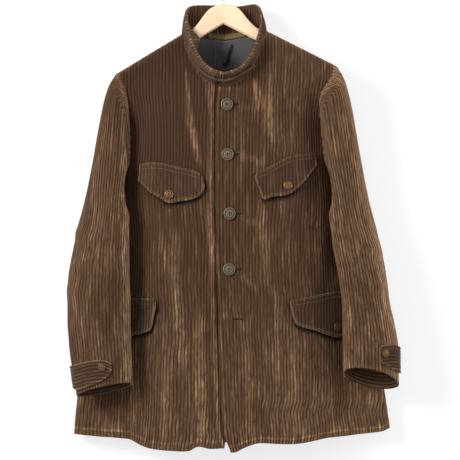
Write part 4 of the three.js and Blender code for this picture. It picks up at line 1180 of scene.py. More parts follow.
# %% Sleeve points
def ring_point(sign, girth, along):
    """A place on a sleeve's ring, and how far out from the ring's axis it points."""
    rows = SLEEVES[sign]
    value = {key: curve(rows, "along", key)(along) for key in rows if key != "along"}
    angle = np.pi * girth
    share = (1 + np.cos(angle)) / 2
    middle = [lerp(value["inner"], value["outer"], 0.5), lerp(value["inner_y"], value["outer_y"], 0.5)]
    x = lerp(value["inner"], value["outer"], share)
    y = lerp(value["inner_y"], value["outer_y"], share) - value["depth"] * np.sin(angle)
    drop = lerp(value["inner_drop"], value["outer_drop"], share) - value["rise"] * np.sin(angle)
    outward = np.stack(np.broadcast_arrays(x - middle[0], y - middle[1], 0 * x), -1)
    outward = outward / np.linalg.norm(outward, axis=-1, keepdims=True)
    return np.stack(np.broadcast_arrays(x, y, -drop), -1), outward


def sleeve_point(sign, girth, along):
    place, outward = ring_point(sign, girth, along)
    total = 0.9 * noise(girth * 6 + 9, along * 6 + sign)
    total = total + 0.6 * noise(girth * 11 + along * 9, along * 13 + 3)
    folds = SLEEVE_FOLDS[sign]
    for row in zip(*folds.values()):
        fold_girth, fold_along, lean, height, girth_width, along_width = row
        away = girth - fold_girth
        away = away - 2 * np.round(away / 2)
        down = (along - fold_along - lean * away * 0.1) / along_width
        total = total + 0.85 * height * np.exp(-((away / girth_width) ** 2) - down * down)
    return place + outward * total[..., None]


CUFF = ring_point(1, np.array(0.5), np.array(1.0))[0]
print("the wearer's left cuff hangs", round(float(-CUFF[2])), "mm below the hook")


# %% Heads of the sleeves
def armhole_seam(sign, panel, count):
    """Points down one half of the armhole, evenly spaced, with their share of the way."""
    drops = np.linspace(0, 1, 60)
    kind, value = np.full(60, FLAT), np.ones(60)
    top = column_top(kind[:1], value[:1], sign, panel)[0]
    upper = panel_point(kind, value, sign, lerp(top, ARMHOLE_DROP, drops), panel)
    side = np.linspace(0, 1, 30)
    kinds = np.concatenate([np.full(30, SIDE), np.full(30, FOLD)])
    values = np.concatenate([side, side])
    under = panel_point(kinds, values, sign, column_top(kinds, values, sign, panel), panel)
    path = np.concatenate([upper, under])
    steps = np.linalg.norm(np.diff(path, axis=0), axis=1)
    along = np.concatenate([[0], np.cumsum(steps)]) / steps.sum()
    even = np.linspace(0, 1, count)
    return np.stack([np.interp(even, along, path[:, axis]) for axis in range(3)], 1), even


def sleeve_head(sign, start, leave, steps):
    """Columns from the armhole down to the first ring: a curve that leaves and arrives smoothly."""
    out = np.stack([sign * leave["out"], -leave["forward"], -leave["down"]], 1)
    begin = start - out / np.linalg.norm(out, axis=1)[:, None] * TUCK
    end = sleeve_point(sign, leave["girth"], np.zeros(len(start)))
    run = sleeve_point(sign, leave["girth"], np.full(len(start), 0.04)) - end
    reach = np.minimum(ARMHOLE_RUN_DOWN, np.linalg.norm(begin - end, axis=1) * 0.9)
    run = run / np.linalg.norm(run, axis=1)[:, None] * reach[:, None]
    t = steps[None, :, None]
    place = lerp(begin[:, None], end[:, None], (3 - 2 * t) * t * t)
    place = place + out[:, None] * t * (1 - t) ** leave["fade"][:, None, None]
    return place - run[:, None] * t * t * (1 - t)


def straighten(sign, half, girth, head_rows):
    """Slides a head's columns along its rows, so that its wales run more nearly straight down."""
    rows = SLEEVES[sign]
    inner, outer, lean = rows["inner"][0], rows["outer"][0], HEAD_LEAN[sign]
    ring = half[:, head_rows - 1]
    length = np.concatenate([[0], np.cumsum(np.linalg.norm(np.diff(ring, axis=0), axis=1))])
    ids = grid_ids(half)
    turned = vertex_normals(half.reshape(-1, 3), grid_faces(ids)).reshape(half.shape)
    forward = np.abs(turned[..., 1])
    for row in range(head_rows):
        points = half[:, row]
        line = inner + lean * (-points[:, 2] - rows["inner_drop"][0])
        share = np.clip((points[:, 0] - line) / (outer - inner), 0, 1)
        level = np.interp(np.arccos(2 * share - 1) / np.pi, girth, length)
        t = row / (head_rows - 1)
        weight = 0.7 * smooth(forward[:, row], 0.1, 0.5) * (1 - smooth(t, 0.7, 1)) * smooth(t, 0, 0.15)
        weight *= smooth(girth, 0, 0.2) * (1 - smooth(girth, 0.95, 1.1))
        wanted = np.maximum.accumulate(lerp(length, level, weight) + length * 1e-4)
        wanted = wanted / wanted[-1] * length[-1]
        half[:, row] = np.stack([np.interp(length, wanted, points[:, axis]) for axis in range(3)], 1)
    return half


print("the sleeves start", TUCK, "mm inside the armholes")


# %% [markdown]
# ## Dressing the sleeves
# The front half and the back half of a sleeve share the grid's rows. One more column closes the
# tube at the places of the first, so the wale count runs on without a jump, and the two are
# welded in the mesh. A paler pile is painted as highlight along the inner edge of the wearer's
# right sleeve, along the outer edge of the left one and on faces turned to one side.

# %% Wear and painted highlight of the sleeves
def sleeve_grid(sign, columns, head_rows, arm_rows):
    """The points of a sleeve in columns, and each column's share of the girth."""
    halves = []
    for panel, rows in ((FRONT_PANELS[sign], ARMHOLE_FRONT), (BACK_PANEL, ARMHOLE_BACK)):
        start, even = armhole_seam(sign, panel, columns // 2 + 1)
        leave = {key: curve(rows, "along", key)(even) for key in rows if key != "along"}
        head = sleeve_head(sign, start, leave, np.linspace(0, 1, head_rows))
        arm = sleeve_point(sign, leave["girth"][:, None], np.linspace(0, 1, arm_rows)[None, 1:])
        half = np.concatenate([head, arm], 1)
        if panel["facing"] < 0:
            half = straighten(sign, half, leave["girth"], head_rows)
        halves.append((half, leave["girth"]))
    (front, front_girth), (back, back_girth) = halves
    grid = np.concatenate([front, back[1:-1][::-1]])
    return grid, np.concatenate([front_girth, back_girth[1:-1][::-1]])


def sleeve_wear_and_highlight(sign, girth, downs, to_hem, normals):
    # Paler pile on faces turned to one side and along the listed edges is painted highlight; at the ends it
    # is wear.
    side_facing_highlight = smooth(-sign * normals[..., 0], 0.3, 0.8) * (normals[..., 1] < 0.2)
    if sign < 0:
        wear_and_light_amount = 0.75 * side_facing_highlight + 0.15 * np.exp(-(((girth - 0.35) / 0.3) ** 2))
        wear_and_light_amount = wear_and_light_amount + 0.8 * np.exp(-(((girth - 0.9) / 0.09) ** 2))
    else:
        outer_edge_highlight = 0.95 * (1 - smooth(girth, 0.12, 0.42)) * smooth(girth, -0.4, 0)
        wear_and_light_amount = outer_edge_highlight + 0.24 + 0.2 * side_facing_highlight
    at_ends = 0.5 * np.exp(-to_hem / 4) + 0.5 * np.exp(-(((downs - 8) / 8) ** 2))
    return np.clip(wear_and_light_amount + at_ends + 0.15 * noise(girth * 9, downs / 60), 0, 1)


print("the sleeves' wales are", round(WALE * SLEEVE_WALE, 2), "mm apart")


# %% Sleeves in full
def dress_sleeve(sign, name, columns, head_rows, arm_rows):
    grid, girth = sleeve_grid(sign, columns, head_rows, arm_rows)
    ring = ring_point(sign, girth, np.full(len(girth), 0.3))[0]
    step = np.linalg.norm(np.diff(np.vstack([ring, ring[:1]]), axis=0), axis=1)
    wales = round(step.sum() / (WALE * SLEEVE_WALE))
    count = np.concatenate([[0], np.cumsum(step)[:-1]]) * wales / step.sum()
    down = np.cumsum(np.linalg.norm(np.diff(grid, axis=1), axis=2), axis=1).mean(0)
    down = np.concatenate([[0], down])
    grid, count = np.concatenate([grid, grid[:1]]), np.append(count, wales)
    ids = grid_ids(grid)
    counts = np.repeat(count[:, None], grid.shape[1], 1)
    downs = np.repeat(down[None, :], grid.shape[0], 0)
    to_hem = down[-1] - downs
    relief = wale_relief(counts, downs + 500) + stitched(to_hem, 9) + stitched(downs, 4, 1.5, 0.5)
    relief *= smooth(np.minimum(to_hem, downs), -1.5, 3)
    relief += 2.2 * np.exp(-(((downs - 9) / 7) ** 2))
    relief *= 0.7 + 0.3 * smooth(downs, 0, 60)
    quads = grid_faces(ids[::-1, ::-1] if sign > 0 else ids[:, ::-1])
    points = grid.reshape(-1, 3)
    normals = vertex_normals(points, quads).reshape(grid.shape)
    wear_and_light = sleeve_wear_and_highlight(sign, np.append(girth, girth[0])[:, None], downs, to_hem, normals).ravel()
    seam_normal = normals[0] + normals[-1]
    normals[0] = normals[-1] = seam_normal / np.linalg.norm(seam_normal, axis=1)[:, None]
    outer = grid + normals * relief[..., None]
    inner = grid - normals * CLOTH
    total = ids.size
    rim = []
    for row in (0, -1):
        here, there = ids[:-1, row], ids[1:, row]
        loop = np.stack([here, there, there + total, here + total], 1)
        rim.append(loop if (row == 0) == (sign < 0) else loop[:, ::-1])
    faced = np.tile(to_hem[0, ::-1][:-1] < CUFF_FACING, len(ids) - 1)
    faces = np.concatenate([quads, quads[:, ::-1] + total] + rim)
    indices = np.zeros(len(faces), int)
    indices[len(quads):2 * len(quads)] = np.where(faced, 2, 1)
    uv = np.stack([counts.ravel(), downs.ravel()], 1)
    turned = np.stack([downs.ravel() / WALE, counts.ravel() * WALE], 1)
    closed = np.concatenate([ids[:-1], ids[:1]]).ravel()
    piece = mesh_piece(
        f"{name}_cloth", np.vstack([outer.reshape(-1, 3), inner.reshape(-1, 3)]), faces, CLOTHES, indices,
        np.vstack([uv, turned]), np.concatenate([wear_and_light, wear_and_light]), np.concatenate([closed, closed + total]),
    )
    settle(piece, [name], (0.36, 0.68), quad_area(points, quads) * MM * MM)


dress_sleeve(-1, "sleeve_right", 212, 50, 66)
dress_sleeve(1, "sleeve_left", 212, 50, 66)

# %% [markdown]
# ## The collar's form
# The collar stands up on the neckline all round. Its upper edge is measured as a table from the
# centre front to the centre back, for either side. Between the seam and that edge the cloth
# bellies up a little, so a bent line joins the two.

# %% The collar's edge
COLLAR_EDGE = table(
    "along right left y drop_right drop_left",
    (0, 1, 1, -85, 200.5, 200.5),
    (0.1, 16, 15, -84, 197, 197),
    (0.2, 33, 32, -79, 187, 189),
    (0.3, 48, 48, -70, 169, 173),
    (0.4, 61, 61, -56, 146, 150),
    (0.5, 71, 70, -35, 115, 119),
    (0.56, 75, 73, -18, 93, 96),
    (0.62, 74, 71, 0, 75, 75),
    (0.7, 67, 66, 16, 66, 63),
    (0.8, 51, 53, 30, 62.5, 62),
    (0.9, 26, 27, 38, 62, 65),
    (1, 0, 0, 40, 63, 63),
)
COLLAR_BELLY = 9
COLLAR_THIN = 3.6
COLLAR_ROLL = 6.4


def neckline(sign, count):
    """Places round the neck from the centre front to the centre back, with their share."""
    out = np.linspace(0.5, NECK_HALF, count)
    x = NECK_CENTRE + sign * out
    drop = shoulder_drop(x) + neck_front_at(out)
    front = np.stack([x, FRONT_PANELS[sign]["surface"](x, drop), -drop], 1)
    out = np.linspace(NECK_HALF, 0, count)
    x = NECK_CENTRE + sign * out
    drop = shoulder_drop(x) + neck_back_at(out)
    back = np.stack([x, back_y(x, drop), -drop], 1)
    path = np.concatenate([front, back])
    steps = np.linalg.norm(np.diff(path, axis=0), axis=1)
    return path, np.concatenate([[0], np.cumsum(steps)]) / steps.sum()


def collar_point(sign, base, along, up):
    x = NECK_CENTRE + sign * curve(COLLAR_EDGE, "along", "right" if sign < 0 else "left")(along)
    drop = curve(COLLAR_EDGE, "along", "drop_right" if sign < 0 else "drop_left")(along)
    top = np.stack([x, curve(COLLAR_EDGE, "along", "y")(along), -drop], -1)
    start = base + np.array([0, 0, SEAM * 2])
    control = lerp(start, top, 0.35) + np.array([0, 0, COLLAR_BELLY])
    return lerp(lerp(start, control, up), lerp(control, top, up), up)


def collar_grid(rows, count):
    """The outer face of the whole collar: columns from one side of the front to the other."""
    sides = []
    for sign in (1, -1):
        path, share = neckline(sign, 200)
        even = np.linspace(0, 1, count)
        base = np.stack([np.interp(even, share, path[:, axis]) for axis in range(3)], 1)
        up = np.linspace(0, 0.93, rows)
        sides.append(collar_point(sign, base[:, None], even[:, None], up[None, :, None]))
    return np.concatenate([sides[0], sides[1][:-1][::-1]])


COLLAR_TOP = float(COLLAR_EDGE["drop_right"].min())
print("the collar's top is", COLLAR_TOP, "mm below the hook's crown")


# %% [markdown]
# ## The collar in full
# The edge rolls outwards in a thick soft bead, where the pile of every wale ends in a lighter
# tuft. A bevel on a thin wall would give an even bead. Here the section goes up the outer face,
# over the roll and down the inner face, so that the bead can be uneven, and the slack on the
# wearer's right can slouch.

# %% Collar
def dress_collar():
    rows, count, turn = 22, 190, 9
    outer = collar_grid(rows, count)
    ids = grid_ids(outer)
    normals = vertex_normals(outer.reshape(-1, 3), grid_faces(ids)).reshape(outer.shape)
    across = np.linalg.norm(np.diff(outer[:, rows // 2], axis=0), axis=1)
    counts = np.concatenate([[0], np.cumsum(across)]) / WALE
    up = np.linspace(0, 1, rows)
    thick = lerp(COLLAR_THIN, COLLAR_ROLL, smooth(up, 0.7, 1))[None, :]
    share = np.concatenate([np.linspace(0, 1, count), np.linspace(0, 1, count)[:-1][::-1]])
    wearer_right = np.arange(len(share)) >= count
    slouch = 21 * wearer_right * np.exp(-(((share - 0.47) / 0.075) ** 2))
    thick = thick + slouch[:, None] * np.sin(np.pi * up**1.7)[None, :] ** 0.8
    inner = outer - normals * thick[..., None]
    tangent = outer[:, -1] - outer[:, -2]
    tangent = tangent / np.linalg.norm(tangent, axis=1)[:, None]
    middle = (outer[:, -1] + inner[:, -1]) / 2
    arm = outer[:, -1] - middle
    angle = np.pi * np.arange(1, turn) / turn
    roll = (middle[:, None] + arm[:, None] * np.cos(angle)[None, :, None]
            + tangent[:, None] * (COLLAR_ROLL / 2 * 0.95 * np.sin(angle))[None, :, None])
    section = np.concatenate([outer, roll, inner[:, ::-1]], 1)
    ids = grid_ids(section)
    quads = grid_faces(ids)
    points = section.reshape(-1, 3)
    facing_out = vertex_normals(points, quads).reshape(section.shape)
    height = section.shape[1]
    down = np.concatenate([[0], np.cumsum(np.linalg.norm(np.diff(section, axis=1), axis=2).mean(0))])
    on_roll = np.exp(-(((np.arange(height) - (height - 1) / 2) / (turn * 0.62)) ** 4))
    relief = wale_relief(counts[:, None], down[None, :] + 200) * (0.55 + 0.3 * on_roll)[None, :]
    relief += stitched(down[None, :], down[rows - 1] - 2.5, 1.2, 0.8)
    lift = 0.6 * noise(counts[:, None] * 0.35, down[None, :] / 14)
    points = section + facing_out * (relief + lift)[..., None]
    foot = np.stack([ids[1:, 0], ids[:-1, 0], ids[:-1, -1], ids[1:, -1]], 1)
    caps = []
    for column, flip in ((0, False), (-1, True)):
        row = ids[column]
        half = height // 2
        cap = np.stack([row[:half - 1], row[1:half], row[::-1][1:half], row[::-1][:half - 1]], 1)
        caps.append(cap[:, ::-1] if flip else cap)
    faces = np.concatenate([quads, foot] + caps)
    uv = np.stack([np.repeat(counts, height), np.tile(down, len(counts))], 1)
    bead = np.exp(-(((np.arange(height) - (height - 1) / 2) / (turn * 0.34)) ** 2))
    wear_and_light = np.tile(0.04 + 0.5 * bead, len(counts))
    piece = mesh_piece("collar_cloth", points.reshape(-1, 3), faces, [COLLAR_PILE], None, uv, wear_and_light)
    area = quad_area(section.reshape(-1, 3), quads) / 2 * MM * MM
    settle(piece, ["collar"], (0.52, 0.13), area)


dress_collar()

# %% [markdown]
# ## Lying on the front
# Flaps and buttons lie on a larger piece. A shrinkwrap modifier could press them on, but they
# would then copy every wale. Each place on them is a place on the front without its wales,
# averaged a little and moved out along the front's own direction.


# %% Places on the front
def surface_normal(surface, x, drop, step=2.0):
    slope_x = (surface(x + step, drop) - surface(x - step, drop)) / (2 * step)
    slope_z = (surface(x, drop - step) - surface(x, drop + step)) / (2 * step)
    normal = np.stack([slope_x, -np.ones_like(slope_x), slope_z], -1)
    return normal / np.linalg.norm(normal, axis=-1, keepdims=True)


def calm_front_y(x, drop):
    """The front as a flap feels it: averaged, because a doubled cloth bridges small ripples."""
    total = 0
    for shift_x, shift_drop in ((0, 0), (-6, 0), (6, 0), (0, -8), (0, 8)):
        total = total + outer_front_y(x + shift_x, drop + shift_drop)
    return total / 5


def on_front(x, drop, distance):
    place = np.stack(np.broadcast_arrays(x, calm_front_y(x, drop), -drop), -1)
    return place + surface_normal(calm_front_y, x, drop) * np.asarray(distance)[..., None]


FLAP_CLOTH = 3.2
FLAP_STANDS_OFF = 4.6
BELT_OF_FRONT = on_front(np.array(60.0), np.array(500.0), 0)
print("the front stands at", round(float(BELT_OF_FRONT[1])), "mm in depth at the waist")


# %% [markdown]
# ## Pocket flaps
# A flap is two layers of corduroy sewn together, so it is thicker than the body. It bends away
# towards its free edge, and a row of stitches runs round it, which shows as a dent in the pile
# with a soft bead outside it.

# %% Flaps
def small_panel(name, grid, counts, downs, borders, flat,
                wear_edge=0.9, thickness=FLAP_CLOTH, sewn=5, painted_shade=0.0):
    """A flap or tab from a grid of places, its wale count and the distance to its free border."""
    ids = grid_ids(grid)
    bead = 0.9 * np.exp(-((borders - 2.2) / 1.7) ** 2)
    relief = wale_relief(counts, downs + 90) + stitched(borders, sewn, 1.1, 0.8) + bead
    relief *= smooth(borders, -1.2, 2.2)
    # What is subtracted here darkens the whole piece as painted shade.
    wear_and_light = np.clip(wear_edge * np.exp(-borders / 2.6) - painted_shade, -1, 1)
    uv = np.stack([counts.ravel(), downs.ravel()], 1)
    piece, area = cloth_piece(
        name, grid.reshape(-1, 3), grid_faces(ids), relief.ravel(), uv, wear_and_light.ravel(),
        [TRIM_PILE, FACING], thickness,
    )
    settle(piece, [name], flat, area)


def flap_lift(top, bottom, drop):
    down = np.clip((drop - top) / np.maximum(bottom - top, 1), 0, 1)
    return 1.0 + FLAP_STANDS_OFF * down * down


def dress_flap(name, rows):
    columns, steps = 88, 34
    ease = (1 - np.cos(np.pi * np.linspace(0, 1, columns))) / 2
    x = lerp(rows["x"][0], rows["x"][-1], lerp(np.linspace(0, 1, columns), ease, 0.5))[:, None]
    top, bottom = curve(rows, "x", "top")(x), curve(rows, "x", "bottom")(x)
    drop = lerp(bottom, top, np.linspace(0, 1, steps)[None, :])
    x = x + 0 * drop
    grid = on_front(x, drop, FLAP_CLOTH + flap_lift(top, bottom, drop))
    side = 1 if rows["x"][0] > 0 else -1
    counts = front_arc[side](x, drop) / WALE + 0.3
    ends = np.minimum(x - rows["x"][0], rows["x"][-1] - x)
    borders = np.minimum(np.minimum(bottom - drop, (drop - top) + 1.5), ends)
    tall = rows["bottom"].max() - rows["top"].min()
    flat = (round(np.ptp(rows["x"]) * 1.08 * MM, 3), round(tall * 1.1 * MM, 3))
    small_panel(name, grid, counts, drop, borders, flat)


for flap_name, flap_rows in FLAPS.items():
    dress_flap(flap_name, flap_rows)

# %% [markdown]
# ## Wrist tabs
# A tab runs round the outer edge of a sleeve and is buttoned in front. Its places are found on
# the sleeve by their girth and their drop, and its wales run along it. It is as thick as two
# layers and stands a little off the sleeve.

# %% Wrist tabs
CUFF_TABS = {
    -1: table(
        "girth top bottom",
        (-0.12, 754, 788), (0.04, 751, 794), (0.18, 748, 796), (0.34, 742, 788),
        (0.48, 739, 779), (0.56, 741, 768), (0.6, 746, 759),
    ),
    1: table(
        "girth top bottom",
        (-0.16, 720, 762), (-0.06, 718, 765), (0.06, 715, 764), (0.2, 711, 759),
        (0.32, 711, 750), (0.38, 713, 745), (0.41, 719, 735),
    ),
}
TAB_CLOTH = 2.8
TAB_LIFT = 1.3


def sleeve_at_drop(sign, girth, drop):
    shape = np.broadcast(girth, drop).shape
    low, high = np.zeros(shape), np.ones(shape)
    for _ in range(16):
        middle = (low + high) / 2
        above = -sleeve_point(sign, girth, middle)[..., 2] < drop
        low, high = np.where(above, middle, low), np.where(above, high, middle)
    return sleeve_point(sign, girth, low)


def on_sleeve(sign, girth, drop, distance):
    across = sleeve_at_drop(sign, girth + 0.03, drop) - sleeve_at_drop(sign, girth - 0.03, drop)
    down = sleeve_at_drop(sign, girth, drop + 4) - sleeve_at_drop(sign, girth, drop - 4)
    normal = np.cross(across, down) * sign
    normal = normal / np.linalg.norm(normal, axis=-1, keepdims=True)
    return sleeve_at_drop(sign, girth, drop) + normal * distance, normal


def dress_tab(sign, name):
    rows = CUFF_TABS[sign]
    columns, steps = 70, 22
    ease = np.sin(np.pi / 2 * np.linspace(0, 1, columns))
    girth = lerp(rows["girth"][0], rows["girth"][-1], ease)[:, None]
    top, bottom = curve(rows, "girth", "top")(girth), curve(rows, "girth", "bottom")(girth)
    drop = lerp(bottom, top, np.linspace(0, 1, steps)[None, :])
    girth = girth + 0 * drop
    grid = on_sleeve(sign, girth, drop, TAB_CLOTH + TAB_LIFT)[0]
    if sign > 0:
        grid, drop, top, bottom = grid[::-1], drop[::-1], top[::-1], bottom[::-1]
    across = np.linalg.norm(np.diff(grid[:, steps // 2], axis=0), axis=1)
    length = np.concatenate([[0], np.cumsum(across)])
    to_end = (length[-1] - length) if sign < 0 else length
    borders = np.minimum(np.minimum(bottom - drop, drop - top), to_end[:, None] + 0 * drop)
    counts = (drop - top) / WALE + 0.4
    small_panel(name, grid, counts, length[:, None] + 0 * drop, borders, (0.1, 0.06),
                thickness=TAB_CLOTH, sewn=4.5)


dress_tab(-1, "cuff_tab_right")
dress_tab(1, "cuff_tab_left")

# %% [markdown]
# ## Throat tab
# The strap across the throat keeps the collar up. It follows the collar's own face from one side
# of the front to the other, and both its ends stand off.

# %% Throat tab
STRAP = {"start": -46, "end": 55, "low": 0.16, "high": 0.6}


def collar_across(x, up, behind=False):
    """The collar's outer face at a distance across, in front or behind."""
    place = np.empty(np.broadcast(x, up).shape + (3,))
    for sign in (1, -1):
        path, share = neckline(sign, 200)
        half = slice(200, None) if behind else slice(0, 200)
        out = sign * (x - NECK_CENTRE)
        order = np.argsort(np.abs(path[half][:, 0] - NECK_CENTRE))
        reach = np.abs(path[half][:, 0] - NECK_CENTRE)[order]
        base = np.stack([np.interp(out, reach, path[half][order][:, axis]) for axis in range(3)], -1)
        along = np.interp(out, reach, share[half][order])
        here = collar_point(sign, base, along, up[..., None])
        place = np.where((out >= 0)[..., None], here, place)
    return place


def dress_strap():
    columns, steps = 84, 12
    x = np.linspace(STRAP["start"], STRAP["end"], columns)[:, None] + np.zeros((1, steps))
    up = np.linspace(STRAP["low"], STRAP["high"], steps)[None, :] + 0 * x
    grid = collar_across(x, up)
    ids = grid_ids(grid)
    normals = vertex_normals(grid.reshape(-1, 3), grid_faces(ids)).reshape(grid.shape)
    sag = 1.2 * noise(x / 18, up + 4)
    ends = 3.5 * smooth(x, 38, 56) + 1.5 * smooth(-x, 36, 46)
    grid = grid + normals * (6.0 + sag + ends)[..., None]
    tall = np.linalg.norm(grid[:, -1] - grid[:, 0], axis=1)[:, None] * np.linspace(0, 1, steps)[None, :]
    borders = np.minimum(np.minimum(tall, tall[:, -1:] - tall), np.minimum(x - x[0, 0], x[-1, 0] - x))
    # The strap is darkened all over as painted shade.
    small_panel("throat_tab", grid, tall / WALE + 0.2, x + 200, borders, (0.11, 0.03),
                wear_edge=0.7, thickness=3.4, sewn=3.5, painted_shade=0.35)


dress_strap()

# %% [markdown]
# ## Inside the neck
# Through the collar one sees the upper back's dark lining. It is a thin cloth that hangs a little
# in front of the corduroy, with small puckers, a seam down its middle and a curved one beside it.
# The seams are soft ridges in its grid of points.

# %% Lining
LINING_HALF = 92
LINING_END = 300
LINING_STANDS_OFF = 2.9
LINING_SEAM = -15
CURVED_SEAM = 44


def plain_sheet(name, grid, ids, relief, finish, thickness, flat):
    """A sheet without pile, in one finish on both sides."""
    points = grid.reshape(-1, 3)
    piece, area = cloth_piece(
        name, points, grid_faces(ids), relief, points[:, :2] / WALE, 0 * points[:, 0],
        [finish, finish], thickness,
    )
    settle(piece, [name], flat, area)


def lining_y(x, drop):
    return back_y(x, drop) - CLOTH - LINING_STANDS_OFF


def dress_lining():
    x = np.linspace(NECK_CENTRE + LINING_HALF, NECK_CENTRE - LINING_HALF, 96)[:, None]
    from_middle = np.minimum(np.abs(x - NECK_CENTRE), NECK_HALF)
    top = shoulder_drop(x) + np.maximum(neck_back_at(from_middle) - 2, 31)
    drop = lerp(LINING_END, top, np.linspace(0, 1, 60)[None, :])
    x = x + 0 * drop
    seam = 1.3 * np.exp(-(((x - LINING_SEAM) / 1.6) ** 2)) - 0.7 * np.exp(-(((x - LINING_SEAM) / 7) ** 2))
    pucker = 0.9 * noise(x / 17, drop / 26) * smooth(drop, 140, 190) + 0.35 * noise(x / 6, drop / 8)
    curved = 0.9 * np.exp(-(((x - CURVED_SEAM - (drop - 139) * 0.4) / 1.5) ** 2))
    grid = np.stack([x, lining_y(x, drop) - pucker + seam + curved - 0.9, -drop], -1)
    even = 0 * x.ravel()
    plain_sheet("lining_back", grid, grid_ids(grid), even, LINING, 0.8, (0.2, 0.24))


dress_lining()

# %% [markdown]
# ## Label
# A strip of woven tape on the inside of the collar at the back. It is left blank. It is a grid
# over the collar's inner face, moved out, so it curves with the collar.

# %% Label
LABEL_BAND = {"start": -30, "end": 43, "low": 0.04, "high": 0.19}


def dress_label():
    x = np.linspace(LABEL_BAND["end"], LABEL_BAND["start"], 60)[:, None] + np.zeros((1, 10))
    up = np.linspace(LABEL_BAND["low"], LABEL_BAND["high"], 10)[None, :] + 0 * x
    grid = collar_across(x, up, behind=True)
    ids = grid_ids(grid)
    normals = -vertex_normals(grid.reshape(-1, 3), grid_faces(ids)).reshape(grid.shape)
    grid = grid + normals * (COLLAR_THIN + 1.6)
    weave = 0.12 * noise(x / 1.4, up * 60).ravel()
    plain_sheet("label", grid, ids[::-1], weave, LABEL, 0.6, (0.075, 0.012))


dress_label()

# %% [markdown]
# ## Loop to hang by
# A loop of black tape that has torn off at one end and hangs over the lining. A few measured
# points give its path. It is rounded, widened to a tape and lifted in waves. A curve with a flat
# section would twist, so the tape's sides are worked out in the plane of the lining.

# %% Hang loop
HANG_LOOP = np.array([(16, 139), (12, 150), (8.5, 161), (9, 171), (5, 176.5), (-1, 176)], float)
TAPE_HALF = 2.6


def smooth_path(points, count):
    """An even path through points, rounded by averaging."""
    steps = np.linalg.norm(np.diff(points, axis=0), axis=1)
    along = np.concatenate([[0], np.cumsum(steps)]) / steps.sum()
    even = np.linspace(0, 1, count)
    path = np.stack([np.interp(even, along, points[:, axis]) for axis in range(points.shape[1])], 1)
    for _ in range(count // 4):
        path[1:-1] = (path[:-2] + 2 * path[1:-1] + path[2:]) / 4
    return path


def dress_loop():
    path = smooth_path(HANG_LOOP, 40)
    run = np.gradient(path, axis=0)
    run = run / np.linalg.norm(run, axis=1)[:, None]
    across = np.stack([-run[:, 1], run[:, 0]], 1)
    shift = np.linspace(TAPE_HALF, -TAPE_HALF, 5)
    width = lerp(0.55, 1, smooth(np.linspace(0, 1, 40), 0.1, 0.6))
    flat = path[None] + across[None] * shift[:, None, None] * width[None, :, None]
    x, drop = flat[..., 0], flat[..., 1]
    lift = 1.2 + 1.3 * np.sin(np.linspace(0, 2.4 * np.pi, 40))[None, :] ** 2
    grid = np.stack([x, lining_y(x, drop) - 3.0 - lift, -drop], -1)
    even = 0 * x.ravel()
    plain_sheet("hang_loop", grid, grid_ids(grid), even, TAPE, 0.9, (0.01, 0.06))


dress_loop()

# %% [markdown]
# ## A button
# The front buttons are cast metal and the small ones brass, both with a low dome and a raised
# rim. The photograph's have a worn picture on them, so these have a plain generic relief: a ring
# of small beads and six round petals. A disc is inset and extruded into a turned profile. A lathe
# would do as well, but the inset keeps the faces even. Beads and petals are joined to it.

# %% Turned disc
RIM_STEPS = ((0.1, 0.06), (0.08, 0.0), (0.07, -0.08), (0.14, 0.02), (0.2, 0.03), (0.2, 0.02), (0.12, 0.01))


def deselect():
    bpy.ops.object.select_all(action="DESELECT")


def finish_object(name):
    """Names the active object and applies what operators left on it."""
    piece = bpy.context.active_object
    piece.name = name
    piece.data.name = name
    bpy.ops.object.transform_apply(location=True, rotation=True, scale=True)
    return piece


def turned_disc(radius, material):
    """A disc whose top is inset and raised into a rim, a groove and a dome."""
    deselect()
    bpy.ops.mesh.primitive_cylinder_add(vertices=40, radius=radius * MM, depth=radius * 0.2 * MM)
    bpy.ops.object.mode_set(mode="EDIT")
    bpy.ops.mesh.select_mode(type="FACE")
    bpy.ops.mesh.select_all(action="DESELECT")
    bpy.ops.object.mode_set(mode="OBJECT")
    disc = bpy.context.active_object
    for face in disc.data.polygons:
        face.select = face.normal.z > 0.9
    bpy.ops.object.mode_set(mode="EDIT")
    for inset, rise in RIM_STEPS:
        bpy.ops.mesh.inset(thickness=inset * radius * MM, depth=rise * radius * MM)
    bpy.ops.object.mode_set(mode="OBJECT")
    bevel = disc.modifiers.new("soft", "BEVEL")
    bevel.width = 0.03 * radius * MM
    bevel.segments = 2
    bevel.limit_method = "ANGLE"
    bpy.ops.object.modifier_apply(modifier="soft")
    disc.data.materials.append(material)
    disc.data.materials.append(PATINA)
    for face in disc.data.polygons:
        out = face.center.to_2d().length / (radius * MM)
        face.material_index = int(face.normal.z > 0.3 and (0.6 < out < 0.83 or out < 0.42))
    return disc


print("insets on a button:", len(RIM_STEPS))

# %% Beads and petals
PETALS = 6


def ring_of_balls(radius, material, count, out, size, up, subdivisions, flatness):
    """Small balls in a ring on a disc. How far out, how large and how high are shares of its radius."""
    balls = []
    for i in range(count):
        angle = 2 * math.pi * i / count
        x = out * radius * math.cos(angle) * MM
        y = out * radius * math.sin(angle) * MM
        deselect()
        bpy.ops.mesh.primitive_ico_sphere_add(
            subdivisions=subdivisions, radius=size * radius * MM, location=(x, y, up * radius * MM))
        bpy.ops.transform.resize(value=(1, 1, flatness))
        balls.append(bpy.context.active_object)
        balls[-1].data.materials.append(material)
    return balls


